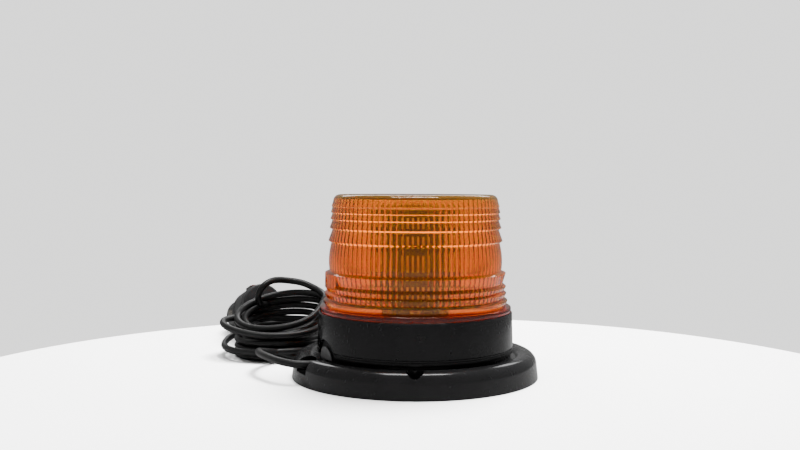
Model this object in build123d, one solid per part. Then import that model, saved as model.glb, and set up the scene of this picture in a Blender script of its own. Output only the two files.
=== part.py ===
from build123d import *
import math
import os

os.makedirs("parts", exist_ok=True)

# All sizes are in millimetres. The lamp stands on z = 0 with its axis on Z and its front towards -Y.
# A turn is an angle about Z, counted from the front towards +X.

# Clearances
RUNNING_GAP = 0.3
FIT_GAP = 0.1
PIN_GAP = 0.05

# Housing, set out from its bore
housing_bore_r = 46.6
housing_foot_wall = 2.0
housing_bead_wall = 3.25
housing_groove_wall = 2.65
housing_low_wall = 3.15
housing_top_wall = 2.6
housing_foot_r = housing_bore_r + housing_foot_wall
housing_bead_r = housing_bore_r + housing_bead_wall
housing_groove_r = housing_bore_r + housing_groove_wall
housing_low_r = housing_bore_r + housing_low_wall
housing_top_r = housing_bore_r + housing_top_wall
housing_h = 22.8
housing_foot_h = 2.7
housing_bead_h = 1.8
housing_groove_t = 0.8

# Base flange, set out from the bead of the housing
flange_gap = 1.15
crown_run = 4.2
shoulder_run = 6.5
skirt_draft = 0.8
groove_r = housing_bead_r + flange_gap
crown_r = groove_r + crown_run
skirt_top_r = crown_r + shoulder_run
base_r = skirt_top_r + skirt_draft
skirt_z = 7.4
crown_z = 12.6
hollow_z = 7.8
floor_t = 2.5
skirt_wall = 2.6
floor_top_z = hollow_z + floor_t
housing_bead_z = (floor_top_z + housing_foot_h, floor_top_z + housing_foot_h + housing_bead_h)
housing_top_z = floor_top_z + housing_h

# Screw bosses under the housing
housing_boss_count = 3
housing_boss_r = 3.7
housing_boss_merge = 0.3
housing_boss_circle_r = housing_bore_r - housing_boss_r + housing_boss_merge
housing_boss_h = 8.7
housing_boss_z = floor_top_z + housing_boss_h
housing_boss_turn = 30.0
housing_screw_r = 1.45
housing_screw_head_r = 2.8
housing_screw_head_t = 2.2
housing_screw_depth = 7.0

# Magnet foot
pad_t = 1.2
magnet_t = 5.0
cup_wall = 1.6
magnet_bore_r = 12.0
cup_setback = 15.0
cup_r = groove_r - cup_setback
pocket_wall = 2.5
pocket_gap = 0.5
pocket_r = cup_r + pocket_gap
cup_roof_z = hollow_z - cup_wall

# Centre bolt
bolt_r = 2.5
bolt_head_r = 4.8
bolt_head_t = 3.0
washer_r = 5.0
washer_t = 1.0
nut_flats = 8.0
nut_t = 4.0
bolt_tail = 1.2

# Three surface mounting holes
mount_count = 3
mount_circle_out = 6.0
mount_circle_r = groove_r + mount_circle_out
mount_hole_r = 2.25
counterbore_r = 4.1
mount_boss_r = 6.0
counterbore_z = 6.5

# Cord port, its notch in the flange and its grommet
port_turn = -63.5
port_r = 11.2
port_z = 10.0
notch_w = 12.6
notch_floor_z = 5.8
notch_wall = 2.4
notch_inner_r = pocket_r + pocket_wall + 1.0
ramp_run = 4.0
ramp_inner_r = notch_inner_r - ramp_run
ramp_floor_z = 9.2
bung_r = 7.6
bung_face_out = 0.7
bung_face_r = housing_foot_r + bung_face_out
bung_floor_z = 11.8
grommet_plate_t = 3.1
grommet_collar_r = 12.6
grommet_collar_t = 1.8

# Cord and its clamp
cord_r = 1.9
cord_z = 9.4
cord_exit_out = 1.4
cord_exit_r = housing_foot_r + cord_exit_out
clamp_setback = 17.6
clamp_r = housing_bore_r - clamp_setback
cord_tail = 2.8
cord_end_r = clamp_r - cord_tail
cord_rise_run = 6.5
cord_level_run = 2.6
clamp_cord_z = 13.4
clamp_w = 5.0
clamp_wall = 1.6
clamp_screw_r = 1.2
clamp_head_r = 2.0
clamp_screw_x = cord_r + clamp_wall + clamp_head_r + FIT_GAP
wire_r = 0.7

# Lens. Teeth and roots stand out from the foot or the top of its side, at heights from its flange or its top
lock_gap = 1.4
skirt_r = housing_bore_r - lock_gap
lens_skirt_t = 2.6
skirt_bore_r = skirt_r - lens_skirt_t
lens_flange_setback = 0.6
lens_flange_r = housing_top_r - lens_flange_setback
lens_flange_t = 2.3
lens_flange_z = housing_top_z + RUNNING_GAP
lens_flange_top_z = lens_flange_z + lens_flange_t
skirt_l = 8.8
skirt_bottom_z = lens_flange_z - skirt_l
lens_foot_out = 0.4
lens_foot_r = skirt_r + lens_foot_out
lens_taper = 3.8
lens_top_r = lens_foot_r - lens_taper
lens_h = 58.6
lens_top_z = lens_flange_z + lens_h
lens_corner_r = 3.4
lens_top_wall = 2.4
upper_teeth = ((0.8, 5.9), (0.4, 6.5), (1.2, 9.0), (0.4, 9.6), (1.4, 12.3), (0.4, 12.9),
               (1.8, 16.8), (0.4, 17.6), (2.4, 23.3))
lower_teeth = ((0.3, 17.0), (-1.3, 11.7), (0.5, 10.2), (-0.9, 7.9), (0.7, 6.9), (-0.6, 4.5), (1.3, 3.2))
band_top = (0.9, 24.3)
band_foot = (-2.0, 17.9)
band_crest = -1.7
band_crest_share = 0.489362
flute_count = 84
flute_step = 3.2
flute_depth = 1.0
flute_crest_r = skirt_bore_r - flute_step
flute_root_r = flute_crest_r + flute_depth
flute_low = 5.6
flute_bottom_z = lens_flange_z + flute_low
tab_turns = (-88.0, -60.0)
tab_low = 10.7
tab_h = 6.0
tab_z = (lens_flange_top_z + tab_low, lens_flange_top_z + tab_low + tab_h)
tab_rise = 0.3
tab_r = lens_foot_r + tab_rise
tab_depth = 2.5

# Twist lock: the lugs on the lens climb under the ramps of the housing
lock_count = 3
lock_lead = 24.0
lug_height = 1.4
ramp_height = 1.2
lug_turn = 8.0
lug_span = 24.0
ramp_span = 50.0
lug_rise = 0.1
lug_low_z = skirt_bottom_z + lug_rise
lug_reach = lock_gap - RUNNING_GAP
ramp_reach = lock_gap - RUNNING_GAP - FIT_GAP
helix_steps = 6

# Seal ring
seal_groove_depth = 1.0
seal_groove_h = 1.8
seal_groove_drop = 0.6
seal_groove_r = skirt_r - seal_groove_depth
seal_z = (lens_flange_z - seal_groove_drop - seal_groove_h, lens_flange_z - seal_groove_drop)

# Driver board
board_setback = 8.0
board_r = housing_bore_r - board_setback
board_t = 1.6
board_rise = 9.7
board_z = floor_top_z + board_rise
post_count = 3
post_setback = 5.6
post_circle_r = board_r - post_setback
post_r = 3.5
board_screw_r = 1.25
board_screw_head_r = 2.4
board_screw_head_t = 1.6
board_screw_depth = 6.0

# Light tower
tower_sides = 6
tower_flat = 14.0
tower_wall = 2.0
tower_head_room = 9.4
tower_top_z = lens_top_z - lens_top_wall - tower_head_room
tower_floor_t = 2.4
led_board_w = 15.6
led_board_t = 1.0
led_board_margin = 1.0
leds_per_board = 5
led_size = 5.0
led_t = 1.6
led_dome_r = 1.9
top_board_t = 1.2
top_led_circle_r = 7.5
tower_screw_r = 1.25
tower_screw_circle_r = 8.0

# Parts on the driver board
can_r = 4.0
can_h = 8.2
drum_r = 6.0
drum_core_r = 3.2
drum_h = 7.0
chip_size = (10.0, 6.0, 1.7)
transistor_size = (6.5, 6.0, 2.3)
resistor_size = (3.2, 1.6, 0.7)
can_setback = 16.6
resistor_setback = 14.6
chip_setback = 12.6
choke_setback = 12.6
transistor_setback = 11.6
terminal_size = (8.0, 6.4, 6.0)
terminal_distance = 12.0
terminal_entry_z = 15.2

# Coil of cord, and the plug that leans on it
coil_centre = (-79.5, 57.0)
coil_half_x = 31.0
coil_half_y = 32.5
plug_rear = Vector(-92.0, 88.0, 25.5)
plug_nose = Vector(-117.4, 146.8, 8.3)
handle_r = 11.7
handle_l = 32.0
barrel_r = 10.1
plug_wall = 1.8
cap_r = 8.4
cap_l = 9.0
cap_wall = 1.8
plug_l = (plug_nose - plug_rear).length
barrel_end = plug_l - cap_l
fuse_r = 3.15
fuse_l = 28.0
tip_r = 2.8
tip_flange_r = 4.1
tip_flange_t = 2.0
tip_reach = 4.5
tip_travel = 2.5
fuse_front = barrel_end + cap_l - cap_wall - tip_flange_t
spring_r = 3.0
spring_wire_r = 0.4
spring_l = 7.0
spring_turns = 5
seat_t = 1.0
sleeve_bore_r = 3.55
sleeve_wall = 1.2
side_contact_w = 4.0
side_contact_t = 0.6
side_contact_l = 10.0
side_contact_foot = 2.0
side_contact_crown = 1.3
side_contact_z = 40.5
side_travel = 0.9
rocker_l = 8.8
rocker_w = 5.6
rocker_t = 3.4
rocker_z = 17.0
rocker_tilt = 8.0
rocker_pin_r = 0.8
bezel_wall = 1.3
relief_l = 13.0
relief_root_r = 4.1
relief_tip_r = 2.9
relief_collar_r = 5.6
relief_collar_t = 2.0
plug_screw_r = 1.2
plug_screw_head_r = 2.2
plug_screw_z = 7.6


# Helpers

LOW = (Align.CENTER, Align.CENTER, Align.MIN)


def rod(radius, z0, z1, x=0.0, y=0.0):
    """Round bar along Z."""
    return Pos(x, y, z0) * Cylinder(radius, z1 - z0, align=LOW)


def ring(outer_r, inner_r, z0, z1):
    """Flat ring about Z."""
    return rod(outer_r, z0, z1) - rod(inner_r, z0 - 1, z1 + 1)


def block(x0, x1, y0, y1, z0, z1):
    """Box between two corners."""
    box = Box(x1 - x0, y1 - y0, z1 - z0)
    return Pos((x0 + x1) / 2, (y0 + y1) / 2, (z0 + z1) / 2) * box


def turned(points):
    """Solid of revolution about Z from a closed outline of (radius, height) points."""
    outline = Polyline(*[(r, 0, z) for r, z in points], close=True)
    return revolve(make_face(outline), Axis.Z)


def at_turn(piece, turn):
    """Turns a piece that was built at the front round the axis of the lamp."""
    return Rot(0, 0, turn) * piece


def spaced(count, first=0.0):
    """Evenly spaced turns."""
    return [first + 360.0 / count * k for k in range(count)]


def front_rod(radius, reach_in, reach_out, x, z):
    """Round bar that points at the front, between two distances from the axis."""
    bar = Cylinder(radius, reach_out - reach_in)
    return Pos(x, -(reach_in + reach_out) / 2, z) * Rot(90, 0, 0) * bar


def joined(pieces):
    """One shape out of several."""
    whole = pieces[0]
    for piece in pieces[1:]:
        whole = whole + piece
    return whole


def helical_block(inner_r, outer_r, low_z, height, first, span, lead):
    """Short rib that climbs round Z with the given lead, built in straight steps."""
    sections = []
    for step in range(helix_steps + 1):
        turn = first + span * step / helix_steps
        rise = low_z + lead * (turn / 360.0)
        heading = math.radians(turn)
        corners = [(inner_r, rise), (outer_r, rise), (outer_r, rise + height), (inner_r, rise + height)]
        outline = [(r * math.sin(heading), -r * math.cos(heading), z) for r, z in corners]
        sections.append(make_face(Polyline(*outline, close=True)))
    return loft(sections, ruled=True)


def route_radii(points, share=0.45):
    """Bend radius at each inner point of a route: the largest that its two runs allow."""
    radii = []
    for before, here, after in zip(points, points[1:], points[2:]):
        run_in = Vector(*here) - Vector(*before)
        run_out = Vector(*after) - Vector(*here)
        half_turn = math.radians(run_in.get_angle(run_out)) / 2
        radii.append(share * min(run_in.length, run_out.length) / math.tan(half_turn))
    return radii


def tube(points, radius, name):
    """Round tube along straight runs joined by tangent arcs."""
    radii = route_radii(points)
    path = FilletPolyline(*points, radius=radii)
    section = Plane(origin=path @ 0, z_dir=path % 0) * Circle(radius)
    swept = sweep(section, path=path)
    expected = math.pi * radius ** 2 * path.length
    print(name, "radii", [round(r, 1) for r in radii], "length", round(path.length, 1),
          "volume ratio", round(swept.volume / expected, 4))
    return swept


def beside_port(out, along, z):
    """Point given by its distance out along the port's direction, across it towards the back, and height."""
    heading = math.radians(port_turn)
    x = out * math.sin(heading) - along * math.cos(heading)
    y = -out * math.cos(heading) - along * math.sin(heading)
    return (x, y, z)


def save(piece, node, colour=None):
    """Writes one node."""
    if isinstance(piece, (list, ShapeList)):
        piece = Compound(children=list(piece))
    export_step(piece, f"parts/{node}.step")


# Base flange: a hollow ring with a floor, a magnet pocket, screw bosses and a notch for the cord

def make_mount_flange():
    skirt_side = Line((base_r, 0, 0), (skirt_top_r, 0, skirt_z))
    crown_out = ThreePointArc((skirt_top_r, 0, skirt_z), (crown_r + 4.9, 0, crown_z - 1.6), (crown_r, 0, crown_z))
    crown_in = ThreePointArc((crown_r, 0, crown_z), (groove_r + 1.6, 0, crown_z - 0.6), (groove_r, 0, floor_top_z))
    rest = Polyline((groove_r, 0, floor_top_z), (0, 0, floor_top_z), (0, 0, 0), (base_r, 0, 0))
    body = revolve(make_face(Wire([*skirt_side.edges(), *crown_out.edges(), *crown_in.edges(),
                                   *rest.edges()])), Axis.Z)
    pocket_outer_r = pocket_r + pocket_wall
    hollow = ring(skirt_top_r - skirt_wall + 0.8, pocket_outer_r, -1, hollow_z)
    for turn in spaced(mount_count):
        hollow -= at_turn(rod(mount_boss_r, -2, hollow_z + 1, y=-mount_circle_r), turn)
    shelf_half = notch_w / 2 + notch_wall
    shelf = block(-shelf_half, shelf_half, -base_r, -pocket_outer_r + 1,
                  notch_floor_z - notch_wall, hollow_z + 1)
    hollow -= at_turn(shelf, port_turn)
    body -= hollow
    body -= rod(pocket_r, -1, hollow_z)
    for turn in spaced(mount_count):
        body -= at_turn(rod(counterbore_r, counterbore_z, crown_z + 1, y=-mount_circle_r), turn)
        body -= at_turn(rod(mount_hole_r, -1, crown_z, y=-mount_circle_r), turn)
    notch = block(-notch_w / 2, notch_w / 2, -base_r - 2, -notch_inner_r, notch_floor_z, crown_z + 1)
    ramp = block(-notch_w / 2, notch_w / 2, -notch_inner_r - 1, -ramp_inner_r, ramp_floor_z, crown_z + 1)
    body -= at_turn(notch + ramp, port_turn)
    body -= rod(bolt_r + PIN_GAP, 0, crown_z)
    for turn in spaced(housing_boss_count, housing_boss_turn):
        body -= at_turn(rod(housing_screw_r + FIT_GAP, 0, crown_z, y=-housing_boss_circle_r), turn)
    for turn in spaced(post_count):
        post = rod(post_r, floor_top_z - 0.5, board_z, y=-post_circle_r)
        pilot = rod(board_screw_r + PIN_GAP, board_z - board_screw_depth - 1, board_z + 1, y=-post_circle_r)
        body += at_turn(post, turn)
        body -= at_turn(pilot, turn)
    clamp_post = block(-clamp_w / 2, clamp_w / 2, -clamp_r - clamp_w / 2, -clamp_r + clamp_w / 2,
                       floor_top_z - 0.5, clamp_cord_z - cord_r)
    clamp_ear = block(0, clamp_screw_x + clamp_head_r + FIT_GAP, -clamp_r - clamp_w / 2,
                      -clamp_r + clamp_w / 2, floor_top_z - 0.5, clamp_cord_z - cord_r)
    clamp_hole = rod(clamp_screw_r + PIN_GAP, hollow_z + 1, clamp_cord_z, x=clamp_screw_x, y=-clamp_r)
    body += at_turn(clamp_post + clamp_ear, port_turn)
    body -= at_turn(clamp_hole, port_turn)
    return body


def make_magnet_cup():
    cup = rod(cup_r, pad_t, hollow_z)
    cup -= rod(cup_r - cup_wall, 0, cup_roof_z)
    cup -= rod(bolt_r + PIN_GAP, 0, hollow_z + 1)
    return cup


def make_magnet():
    return ring(cup_r - cup_wall - FIT_GAP, magnet_bore_r, pad_t, pad_t + magnet_t)


def make_magnet_pad():
    pad = ring(cup_r - FIT_GAP, magnet_bore_r, 0, pad_t)
    rims = pad.edges().filter_by(GeomType.CIRCLE).group_by(Axis.Z)[0]
    return fillet(rims, 0.4)


def make_magnet_bolt():
    head = rod(bolt_head_r, cup_roof_z - bolt_head_t, cup_roof_z)
    top_z = floor_top_z + washer_t + nut_t + bolt_tail
    shank = rod(bolt_r, cup_roof_z - 0.5, top_z)
    slot_z = cup_roof_z - bolt_head_t
    slots = block(-3, 3, -0.5, 0.5, slot_z - 1, slot_z + 1.4) + block(-0.5, 0.5, -3, 3, slot_z - 1, slot_z + 1.4)
    return head + shank - slots


def make_magnet_washer():
    return ring(washer_r, bolt_r + PIN_GAP, floor_top_z, floor_top_z + washer_t)


def make_magnet_nut():
    low_z = floor_top_z + washer_t
    hexagon = extrude(Pos(0, 0, low_z) * RegularPolygon(nut_flats / 2, 6, major_radius=False), nut_t)
    return hexagon - rod(bolt_r + PIN_GAP, low_z - 1, low_z + nut_t + 1)


# Housing: an open tube with a bead at its foot, screw bosses, the cord port and the twist-lock ramps

def make_housing():
    bead_low, bead_high = housing_bead_z
    shell = turned([
        (housing_bore_r, floor_top_z),
        (housing_foot_r, floor_top_z),
        (housing_foot_r, bead_low),
        (housing_bead_r - 0.3, bead_low),
        (housing_bead_r, bead_low + 0.4),
        (housing_bead_r, bead_high - 0.4),
        (housing_bead_r - 0.3, bead_high),
        (housing_groove_r, bead_high),
        (housing_groove_r, bead_high + housing_groove_t),
        (housing_low_r, bead_high + housing_groove_t + 0.3),
        (housing_top_r, housing_top_z - 0.5),
        (housing_top_r - 0.5, housing_top_z),
        (housing_bore_r, housing_top_z),
    ])
    for turn in spaced(housing_boss_count, housing_boss_turn):
        boss = rod(housing_boss_r, floor_top_z, housing_boss_z, y=-housing_boss_circle_r)
        shell += at_turn(boss, turn)
    outside = ring(base_r, housing_foot_r, 0, bead_low)
    shell -= outside
    for turn in spaced(housing_boss_count, housing_boss_turn):
        pilot_top_z = floor_top_z + housing_screw_depth
        pilot = rod(housing_screw_r + PIN_GAP, floor_top_z - 1, pilot_top_z, y=-housing_boss_circle_r)
        shell -= at_turn(pilot, turn)
    shell -= at_turn(front_rod(port_r, housing_bore_r - 6, base_r, 0, port_z), port_turn)
    ramp_first = lug_turn + lug_span / 2 - ramp_span / 2
    low_z = lug_low_z + lug_height + RUNNING_GAP
    for turn in spaced(lock_count):
        ramp = helical_block(housing_bore_r - ramp_reach, housing_bore_r + 0.8, low_z, ramp_height,
                             ramp_first, ramp_span, lock_lead)
        shell += at_turn(ramp, turn)
    return shell


def make_housing_screws():
    screws = []
    for turn in spaced(housing_boss_count, housing_boss_turn):
        head = rod(housing_screw_head_r, hollow_z - housing_screw_head_t, hollow_z, y=-housing_boss_circle_r)
        top_z = floor_top_z + housing_screw_depth - 0.5
        shank = rod(housing_screw_r, hollow_z - 0.5, top_z, y=-housing_boss_circle_r)
        low_z = hollow_z - housing_screw_head_t
        slot = block(-1.8, 1.8, -housing_boss_circle_r - 0.35, -housing_boss_circle_r + 0.35, low_z - 1, low_z + 1)
        screws.append(at_turn(head + shank - slot, turn))
    return screws


def make_cable_grommet():
    plate_outer_r = housing_foot_r - 0.2
    inner_r = housing_bore_r - FIT_GAP
    through = front_rod(port_r - FIT_GAP, inner_r - 3, base_r, 0, port_z)
    body = through & ring(plate_outer_r, inner_r - 1, 0, port_z + port_r + 1)
    collar = front_rod(grommet_collar_r, inner_r - 6, base_r, 0, port_z)
    body += collar & ring(inner_r, inner_r - grommet_collar_t, 0, port_z + grommet_collar_r + 1)
    bung = front_rod(bung_r, inner_r - 1, base_r, 0, port_z) & ring(bung_face_r, inner_r - 1, bung_floor_z, 30)
    body += bung
    body &= block(-base_r, base_r, -base_r, base_r, floor_top_z, 40)
    foot_half = notch_w / 2 - FIT_GAP
    foot = block(-foot_half, foot_half, -base_r, -inner_r + grommet_collar_t + 1,
                 notch_floor_z + FIT_GAP, floor_top_z + 1)
    body += foot & ring(plate_outer_r, inner_r - grommet_collar_t, 0, 20)
    body -= front_rod(cord_r + PIN_GAP, inner_r - 8, base_r, 0, cord_z)
    body -= front_rod(cord_r + RUNNING_GAP, inner_r - 8, inner_r + 0.8, 0, cord_z)
    return at_turn(body, port_turn)


def make_cord_clamp():
    top_z = clamp_cord_z + cord_r + clamp_wall
    foot_z = clamp_cord_z - cord_r
    ear_x = clamp_screw_x + clamp_head_r + FIT_GAP
    y0 = -clamp_r - clamp_w / 2
    y1 = -clamp_r + clamp_w / 2
    saddle = block(-cord_r - clamp_wall, cord_r + clamp_wall, y0, y1, foot_z, top_z)
    saddle -= front_rod(cord_r + PIN_GAP, clamp_r - clamp_w, clamp_r + clamp_w, 0, clamp_cord_z)
    saddle -= block(-cord_r - PIN_GAP, cord_r + PIN_GAP, y0 - 1, y1 + 1, foot_z - 1, clamp_cord_z)
    ear = block(cord_r + PIN_GAP, ear_x, y0, y1, foot_z, foot_z + clamp_wall)
    hole = rod(clamp_screw_r + PIN_GAP, foot_z - 1, foot_z + clamp_wall + 1, x=clamp_screw_x, y=-clamp_r)
    return at_turn(saddle + ear - hole, port_turn)


def make_clamp_screw():
    foot_z = clamp_cord_z - cord_r
    head_z = foot_z + clamp_wall
    head = rod(clamp_head_r, head_z, head_z + 1.2, x=clamp_screw_x, y=-clamp_r)
    shank = rod(clamp_screw_r, hollow_z + 1.2, head_z + 0.5, x=clamp_screw_x, y=-clamp_r)
    return at_turn(head + shank, port_turn)


# Lens: a stepped cap with inner flutes, a flange, a skirt and twist-lock lugs

def make_lens():
    corner = lens_top_r - lens_corner_r
    low_corner_z = lens_top_z - lens_corner_r
    mid = lens_corner_r * math.sqrt(0.5)
    upper = [(lens_top_r + out, 0, lens_top_z - down) for out, down in upper_teeth]
    lower = [(lens_foot_r + out, 0, lens_flange_top_z + up) for out, up in lower_teeth]
    band_high = (lens_top_r + band_top[0], 0, lens_top_z - band_top[1])
    band_low = (lens_foot_r + band_foot[0], 0, lens_flange_top_z + band_foot[1])
    band_mid_z = band_low[2] + (band_high[2] - band_low[2]) * band_crest_share
    side = Polyline((lens_top_r, 0, low_corner_z), *upper, band_high)
    band = ThreePointArc(band_high, (lens_foot_r + band_crest, 0, band_mid_z), band_low)
    low = Polyline(
        band_low, *lower, (lens_foot_r, 0, lens_flange_top_z),
        (lens_flange_r - 0.4, 0, lens_flange_top_z),
        (lens_flange_r, 0, lens_flange_top_z - 0.4),
        (lens_flange_r, 0, lens_flange_z),
        (skirt_r, 0, lens_flange_z),
        (skirt_r, 0, seal_z[1]), (seal_groove_r, 0, seal_z[1]),
        (seal_groove_r, 0, seal_z[0]), (skirt_r, 0, seal_z[0]),
        (skirt_r, 0, skirt_bottom_z), (0, 0, skirt_bottom_z),
        (0, 0, lens_top_z), (corner, 0, lens_top_z),
    )
    shoulder = ThreePointArc((corner, 0, lens_top_z), (corner + mid, 0, low_corner_z + mid),
                             (lens_top_r, 0, low_corner_z))
    outline = Wire([*side.edges(), *band.edges(), *low.edges(), *shoulder.edges()])
    body = revolve(make_face(outline), Axis.Z)
    body -= rod(skirt_bore_r, skirt_bottom_z - 1, flute_bottom_z)
    step = 2 * math.pi / flute_count
    arcs = []
    for k in range(flute_count):
        ends = [(flute_crest_r * math.cos(step * n), flute_crest_r * math.sin(step * n), flute_bottom_z - 1)
                for n in (k, (k + 1) % flute_count)]
        middle = (flute_root_r * math.cos(step * (k + 0.5)), flute_root_r * math.sin(step * (k + 0.5)),
                  flute_bottom_z - 1)
        arcs.append(ThreePointArc(ends[0], middle, ends[1]))
    bore = make_face(Wire([edge for arc in arcs for edge in arc.edges()]))
    body -= extrude(bore, lens_top_z - lens_top_wall - flute_bottom_z + 1, dir=(0, 0, 1))
    tab_mid_z = (tab_z[0] + tab_z[1]) / 2
    tab_half = (tab_z[1] - tab_z[0]) / 2
    shell = ring(tab_r, tab_r - tab_depth, tab_z[0], tab_z[1])
    tab = at_turn(front_rod(tab_half, tab_r / 2, base_r, 0, tab_mid_z) & shell, tab_turns[1])
    steps = 7
    for k in range(steps):
        turn = tab_turns[0] + (tab_turns[1] - tab_turns[0]) * (k + 0.5) / steps
        width = 2 * tab_r * math.sin(math.radians((tab_turns[1] - tab_turns[0]) / steps / 2)) + 0.6
        tab += at_turn(block(-width / 2, width / 2, -base_r, -tab_r / 2, tab_z[0], tab_z[1]) & shell, turn)
    body += tab
    for turn in spaced(lock_count, lug_turn):
        low_z = lug_low_z + lock_lead * (lug_turn / 360.0)
        lug = helical_block(skirt_r - 0.8, skirt_r + lug_reach, low_z, lug_height, 0, lug_span, lock_lead)
        body += at_turn(lug, turn)
    return body


def make_lens_seal():
    low_z = seal_z[0] + PIN_GAP
    high_z = seal_z[1] - PIN_GAP
    inner_r = seal_groove_r + PIN_GAP
    outer_r = housing_bore_r - RUNNING_GAP
    seal = ring(outer_r, inner_r, low_z, high_z)
    rims = seal.edges().filter_by(GeomType.CIRCLE).sort_by(SortBy.RADIUS)[-2:]
    return fillet(rims, 0.5)


# Driver board and what stands on it

def make_driver_board():
    top_z = board_z + board_t
    board = rod(board_r, board_z, top_z)
    for turn in spaced(post_count):
        board -= at_turn(rod(board_screw_r + FIT_GAP, board_z - 1, top_z + 1, y=-post_circle_r), turn)
    for y in (-tower_screw_circle_r, tower_screw_circle_r):
        board -= rod(tower_screw_r + FIT_GAP, board_z - 1, top_z + 1, y=y)
    board -= rod(2.5, board_z - 1, top_z + 1)
    return board


def make_board_screws():
    screws = []
    top_z = board_z + board_t
    for turn in spaced(post_count):
        head = rod(board_screw_head_r, top_z, top_z + board_screw_head_t, y=-post_circle_r)
        shank = rod(board_screw_r, board_z - board_screw_depth, top_z + 0.5, y=-post_circle_r)
        slot_z = top_z + board_screw_head_t
        slot = block(-1.6, 1.6, -post_circle_r - 0.3, -post_circle_r + 0.3, slot_z - 0.7, slot_z + 1)
        screws.append(at_turn(head + shank - slot, turn))
    return screws


def hexagon_bar(flat, z0, z1):
    """Six-sided bar about Z with a corner on +X."""
    return extrude(Pos(0, 0, z0) * RegularPolygon(flat, tower_sides, major_radius=False), z1 - z0)


def make_led_core():
    low_z = board_z + board_t
    core = hexagon_bar(tower_flat, low_z, tower_top_z)
    core -= hexagon_bar(tower_flat - tower_wall, low_z + tower_floor_t, tower_top_z - tower_floor_t)
    for y in (-tower_screw_circle_r, tower_screw_circle_r):
        core += rod(tower_screw_r + 1.6, low_z, low_z + 6, y=y)
        core -= rod(tower_screw_r + PIN_GAP, low_z - 1, low_z + 5.5, y=y)
    core += rod(tower_screw_r + 1.6, tower_top_z - 6, tower_top_z)
    core -= rod(tower_screw_r + PIN_GAP, tower_top_z - 5.5, tower_top_z + 1)
    core -= rod(2.0, low_z - 1, low_z + tower_floor_t + 1)
    return core


def make_tower_screws():
    top_z = board_z + board_t
    screws = []
    for y in (-tower_screw_circle_r, tower_screw_circle_r):
        head = rod(2.2, board_z - 1.5, board_z, y=y)
        screws.append(head + rod(tower_screw_r, board_z - 0.5, top_z + 5.0, y=y))
    return screws


def make_top_screw():
    top_z = tower_top_z + top_board_t
    return rod(2.2, top_z, top_z + 1.4) + rod(tower_screw_r, tower_top_z - 5.0, top_z + 0.5)


def side_turns():
    """Turns that face the six flats of the tower."""
    return spaced(tower_sides)


def make_led_board(turn):
    low_z = board_z + board_t
    board = block(-led_board_w / 2, led_board_w / 2, -tower_flat - led_board_t, -tower_flat,
                  low_z, tower_top_z)
    return at_turn(board, turn)


def make_led(x, y, z):
    """One surface-mounted light with a domed top, facing -Y."""
    face_y = y - led_t
    package = block(x - led_size / 2, x + led_size / 2, face_y, y, z - led_size / 2, z + led_size / 2)
    dome = Pos(x, face_y, z) * Sphere(led_dome_r)
    dome &= block(x - led_size, x + led_size, face_y - led_size, face_y + 0.2, z - led_size, z + led_size)
    return package + dome


def led_heights():
    """Heights of the lights on one side of the tower."""
    low_z = board_z + board_t + 17.5
    pitch = (tower_top_z - 5.0 - low_z) / (leds_per_board - 1)
    return [low_z + pitch * k for k in range(leds_per_board)]


def make_leds(turn):
    face_y = -tower_flat - led_board_t
    return [at_turn(make_led(0, face_y, z), turn) for z in led_heights()]


def make_top_board():
    top_z = tower_top_z + top_board_t
    return hexagon_bar(tower_flat + led_board_t, tower_top_z, top_z) - rod(tower_screw_r + FIT_GAP, 0, top_z + 1)


def make_top_leds():
    top_z = tower_top_z + top_board_t
    leds = []
    for turn in spaced(3, 60.0):
        upright = Pos(0, -top_led_circle_r, top_z) * Rot(-90, 0, 0) * make_led(0, 0, 0)
        leds.append(at_turn(upright, turn))
    return leds


def make_smoothing_cans():
    cans = []
    for turn in (25.0, 50.0):
        can = rod(can_r, board_z - can_h, board_z, y=can_setback - board_r)
        rim = can.edges().filter_by(GeomType.CIRCLE).group_by(Axis.Z)[0]
        can = fillet(rim, 0.6)
        cans.append(at_turn(can, turn))
    return cans


def make_choke():
    low_z = board_z + board_t
    profile = turned([(0, low_z), (drum_r, low_z), (drum_r, low_z + 1.2), (drum_core_r, low_z + 1.2),
                      (drum_core_r, low_z + drum_h - 1.2), (drum_r, low_z + drum_h - 1.2),
                      (drum_r, low_z + drum_h), (0, low_z + drum_h)])
    return at_turn(Pos(0, choke_setback - board_r, 0) * profile, 180.0)


def make_choke_winding():
    low_z = board_z + board_t
    winding = ring(drum_r - 0.9, drum_core_r, low_z + 1.2, low_z + drum_h - 1.2)
    return at_turn(Pos(0, choke_setback - board_r, 0) * winding, 180.0)


def board_box(size, turn, distance):
    """Flat electronic part on the top of the driver board."""
    low_z = board_z + board_t
    piece = block(-size[0] / 2, size[0] / 2, -distance - size[1] / 2, -distance + size[1] / 2,
                  low_z, low_z + size[2])
    return at_turn(piece, turn)


def make_driver_chip():
    return board_box(chip_size, 90.0, board_r - chip_setback)


def make_transistors():
    return [board_box(transistor_size, turn, board_r - transistor_setback) for turn in (30.0, 60.0, 120.0)]


def make_resistors():
    distance = board_r - resistor_setback
    return [board_box(resistor_size, turn, distance) for turn in spaced(8, 205.0) if 200 < turn % 360 < 345]


def make_terminal():
    half = terminal_size[1] / 2
    piece = block(-terminal_size[0] / 2, terminal_size[0] / 2, -terminal_distance - half,
                  -terminal_distance + half, board_z - terminal_size[2], board_z)
    return at_turn(piece, port_turn)


# Cord inside the lamp, its clamp and its two wires

def make_cord_inner():
    points = [beside_port(cord_exit_r, 0, cord_z), beside_port(housing_bore_r - cord_level_run, 0, cord_z),
              beside_port(clamp_r + cord_rise_run, 0, clamp_cord_z), beside_port(cord_end_r, 0, clamp_cord_z)]
    return tube(points, cord_r, "cord_inner")


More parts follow.
